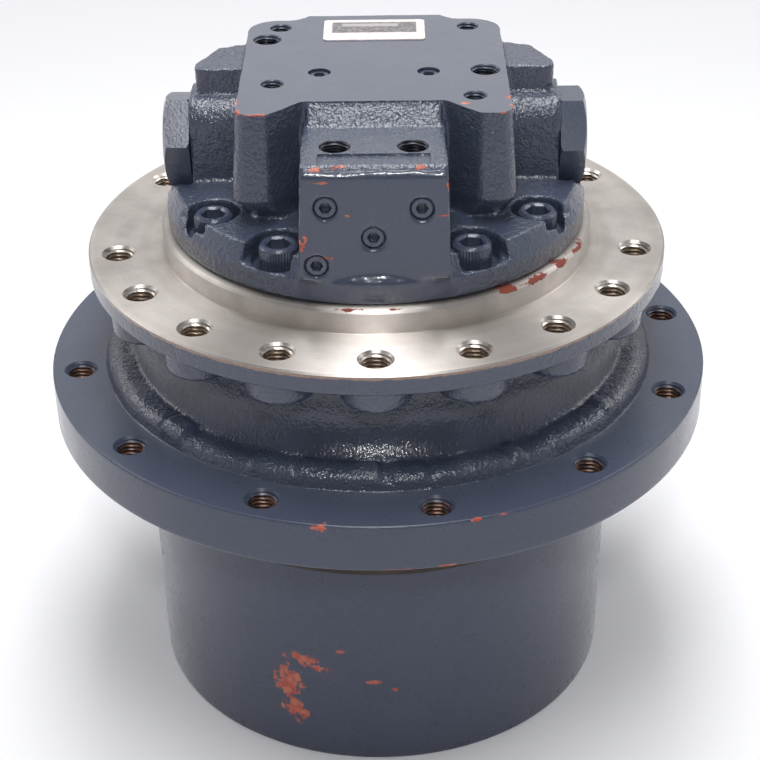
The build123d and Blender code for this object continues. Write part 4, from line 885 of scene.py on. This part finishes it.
def casing_blank():
    """The casing as cast: holes and pad filled, top raised for machining, then remeshed and softened."""
    bm = welded("motor_casing")
    for v in bm.verts:
        if v.co.z > (casing_top - 0.05) * mm:
            v.co.z += machining_allowance * mm
    add_box(bm, (2 * pad_half + 1.4, 12.0, 4.0), (0.0, (pad_front + pad_back) / 2, block_top - 2.0))
    for start, face, over, _, _ in casing_holes:
        for x, y, r, length in mounts_of(start):
            add_cylinder(bm, x, y, face - length - 4.0, face + over, r + 1.4, 32)
    casing = from_bmesh("motor_casing_cast", bm)
    skin = casing.modifiers.new("skin", "REMESH")
    skin.mode = "VOXEL"
    skin.voxel_size = casing_voxel * mm
    apply_modifiers(casing)
    soft = casing.modifiers.new("soft", "SMOOTH")
    soft.factor = 0.5
    soft.iterations = 4
    apply_modifiers(casing)
    return casing


def make_casing():
    """Motor casing: a rough casting, then machined flat and drilled."""

    def where(p, n):
        """None of the foot, little of the block's front and top, and all of the rest."""
        if p.z < 14.0:
            return 0.0
        front = n.y < -0.9 and p.y < -93.0
        top = n.z > 0.9 and 74.0 < p.z < 77.0
        return 0.12 if front or top else 1.0

    casing = casing_blank()
    roughen(casing, 0.35, 0.20, where)
    casing.data.materials.clear()
    casing.data.materials.append(casing_paint)
    bm = bmesh.new()
    add_cylinder(bm, 0.0, 0.0, casing_top, casing_top + slab_height, slab_r, 48)
    slab = from_bmesh("slab", bm)
    slab.data.materials.append(machined_paint)
    boolean(casing, slab)
    for start, face, _, thread, depth in casing_holes:
        places = [(x, y, face) for x, y, _, _ in mounts_of(start)]
        mouth = thread[1] + casing_mouth
        boolean(casing, thread_tool(start + "_threads", places, thread, depth, mouth, thread_dark))
    boolean(casing, pad_tool())
    smooth_shaded(casing, 40)
    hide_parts("motor_casing")
    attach(casing, "frame")


def make_casing_bolts():
    """Knurled socket head screws, painted over."""
    segments = bolt_knurls * knurl_steps
    # Rings of the head as (radius, height, whether it is knurled), then those of its hexagon socket
    head_rings = (
        (bolt_head_r - 0.6, 0.0, False), (bolt_head_r, 0.6, True), (bolt_head_r, bolt_head - 1.6, True),
        (bolt_head_r - 0.2, bolt_head - 1.3, False), (bolt_head_r - 1.4, bolt_head, False),
        (bolt_key * 0.64, bolt_head, False),
    )
    socket_rings = ((bolt_key / 2, bolt_head - 0.8), (bolt_key / 2, bolt_head - 6.0))
    points = []
    for radius, z, knurled in head_rings:
        for j in range(segments):
            t = 2 * pi * j / segments
            dip = abs((j / knurl_steps % 1.0) * 2 - 1) * knurl_depth if knurled else 0.0
            points.append(((radius - dip) * cos(t), (radius - dip) * sin(t), z))
    for half_key, z in socket_rings:
        for j in range(segments):
            t = 2 * pi * j / segments
            radius = half_key / cos(t % (pi / 3) - pi / 6)
            points.append((radius * cos(t), radius * sin(t), z))
    faces = stack_faces(0, len(head_rings) + len(socket_rings), segments)
    bolts = []
    places = circle_places(bolt_circle_r, bolt_angles, bolt_floor)
    for number, (a, place) in enumerate(zip(bolt_angles, places)):
        bolt = from_arrays(f"casing_bolt_{number}", points, faces)
        bolt.data.transform(Matrix.Rotation(radians(a * 7.3 + number * 23), 4, "Z"))
        bolt.data.transform(Matrix.Translation(Vector(place) * mm))
        bolt.data.materials.append(materials["bolt_paint"])
        smooth_shaded(bolt, 28)
        bolts.append(bolt)
    for bolt in bolts:
        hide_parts("casing_bolts")
        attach(bolt, "frame")


def make_nameplate():
    """Bare nameplate with rounded corners, held by two drive pins."""
    bm = bmesh.new()
    add_box(bm, plate_size, (0.0, plate_y, casing_top + plate_size[2] / 2))
    upright = [e for e in bm.edges if abs(e.verts[0].co.z - e.verts[1].co.z) > 0.1 * mm]
    bmesh.ops.bevel(
        bm, geom=upright, offset=plate_corner_r * mm, segments=6, profile=0.5, affect="EDGES",
    )
    for x in (-pin_x, pin_x):
        add_cylinder(bm, x, pin_y, casing_top + pin_low, casing_top + pin_high, 1.6, 24, top_radius=1.1)
    plate = from_bmesh("nameplate_bare", bm)
    plate.data.materials.append(plate_print)
    smooth_shaded(plate, 30)
    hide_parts("nameplate")
    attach(plate, "frame")


def make_floor():
    """Plain pale floor under the drum, which keeps its shadow and turns into a pale backdrop far off."""
    size = floor_half
    corners = [(-size, -size, 0), (size, -size, 0), (size, size, 0), (-size, size, 0)]
    floor = from_arrays("floor", corners, [(0, 1, 2, 3)])
    floor.location.z = drum_bottom * mm
    s = Shade("floor_pale")
    s.set({
        "Base Color": s.mix(s.noise(300.0, 2.0), *floor_tones), "Roughness": 0.7, "Specular IOR Level": 0.2,
    })
    far = s.math("MULTIPLY", s.ramp(s.radius(), backdrop_start, backdrop_end), s.shows_background())
    backdrop = s.add("ShaderNodeEmission", {"Color": (*backdrop_colour, 1.0), "Strength": 1.0})
    both = s.add("ShaderNodeMixShader", {0: far, 1: s.surface.outputs[0], 2: backdrop.outputs[0]})
    s.plug(both.outputs[0], s.tree.nodes["Material Output"].inputs["Surface"])
    floor.data.materials.append(s.material)


def make_world():
    """World that is white to the camera and, in reflections, pale behind the object and beside it."""
    world = bpy.data.worlds.new("studio")
    bpy.context.scene.world = world
    world.use_nodes = True
    n = Nodes(world.node_tree)
    n.tree.nodes.clear()
    way = n.add("ShaderNodeTexCoord").outputs["Generated"]
    parts = n.add("ShaderNodeSeparateXYZ", {0: way}).outputs
    behind = n.ramp(parts["Y"], -0.1, 0.55, 0.1, 0.4)
    beside = n.ramp(n.math("ABSOLUTE", parts["X"]), 0.6, 0.95, 0.1, 0.75)
    reflected = n.math("MAXIMUM", behind, beside)
    camera_rays = n.add("ShaderNodeLightPath").outputs["Is Camera Ray"]
    level = n.math("MAXIMUM", camera_rays, reflected)
    seen = n.add("ShaderNodeBackground", {"Color": level, "Strength": 1.0})
    lit = n.add("ShaderNodeBackground", {"Color": (*world_colour, 1.0), "Strength": 0.18})
    mix = n.add("ShaderNodeMixShader", {0: n.shows_background(), 1: lit.outputs[0], 2: seen.outputs[0]})
    n.add("ShaderNodeOutputWorld", {0: mix.outputs[0]})


def make_lamps():
    """Soft boxes around the object."""
    for name, place, size, power, target in lamps:
        lamp = bpy.data.lights.new(name, "AREA")
        lamp.shape = "RECTANGLE"
        lamp.size = size[0] * mm
        lamp.size_y = size[1] * mm
        lamp.energy = power
        made = bpy.data.objects.new(name, lamp)
        bpy.context.scene.collection.objects.link(made)
        made.location = Vector(place) * mm
        made.rotation_euler = (Vector(place) - Vector(target)).to_track_quat("Z", "Y").to_euler()


def make_camera():
    """Camera at the photograph's viewpoint."""
    turn = Matrix.Rotation(radians(camera_turn), 3, "Z")
    lift = radians(camera_elevation)
    roll = radians(camera_roll)
    back = Vector((0, -cos(lift), sin(lift)))
    level_right = Vector((1, 0, 0))
    level_up = Vector((0, sin(lift), cos(lift)))
    right = level_right * cos(roll) + level_up * sin(roll)
    up = level_up * cos(roll) - level_right * sin(roll)
    lens = bpy.data.cameras.new("camera")
    lens.lens = camera_lens
    lens.sensor_width = camera_sensor
    lens.sensor_fit = "AUTO"
    lens.clip_start = camera_clip * mm
    camera = bpy.data.objects.new("camera", lens)
    bpy.context.scene.collection.objects.link(camera)
    matrix = Matrix([turn @ axis for axis in (right, up, back)]).transposed().to_4x4()
    matrix.translation = turn @ (Vector(camera_target) + back * camera_distance) * mm
    camera.matrix_world = matrix
    bpy.context.scene.camera = camera


dress_cad_nodes()
make_hub()
make_spindle()
make_casing()
make_casing_bolts()
make_nameplate()
make_floor()
make_world()
make_lamps()
make_camera()
bpy.context.scene.view_settings.view_transform = "Standard"
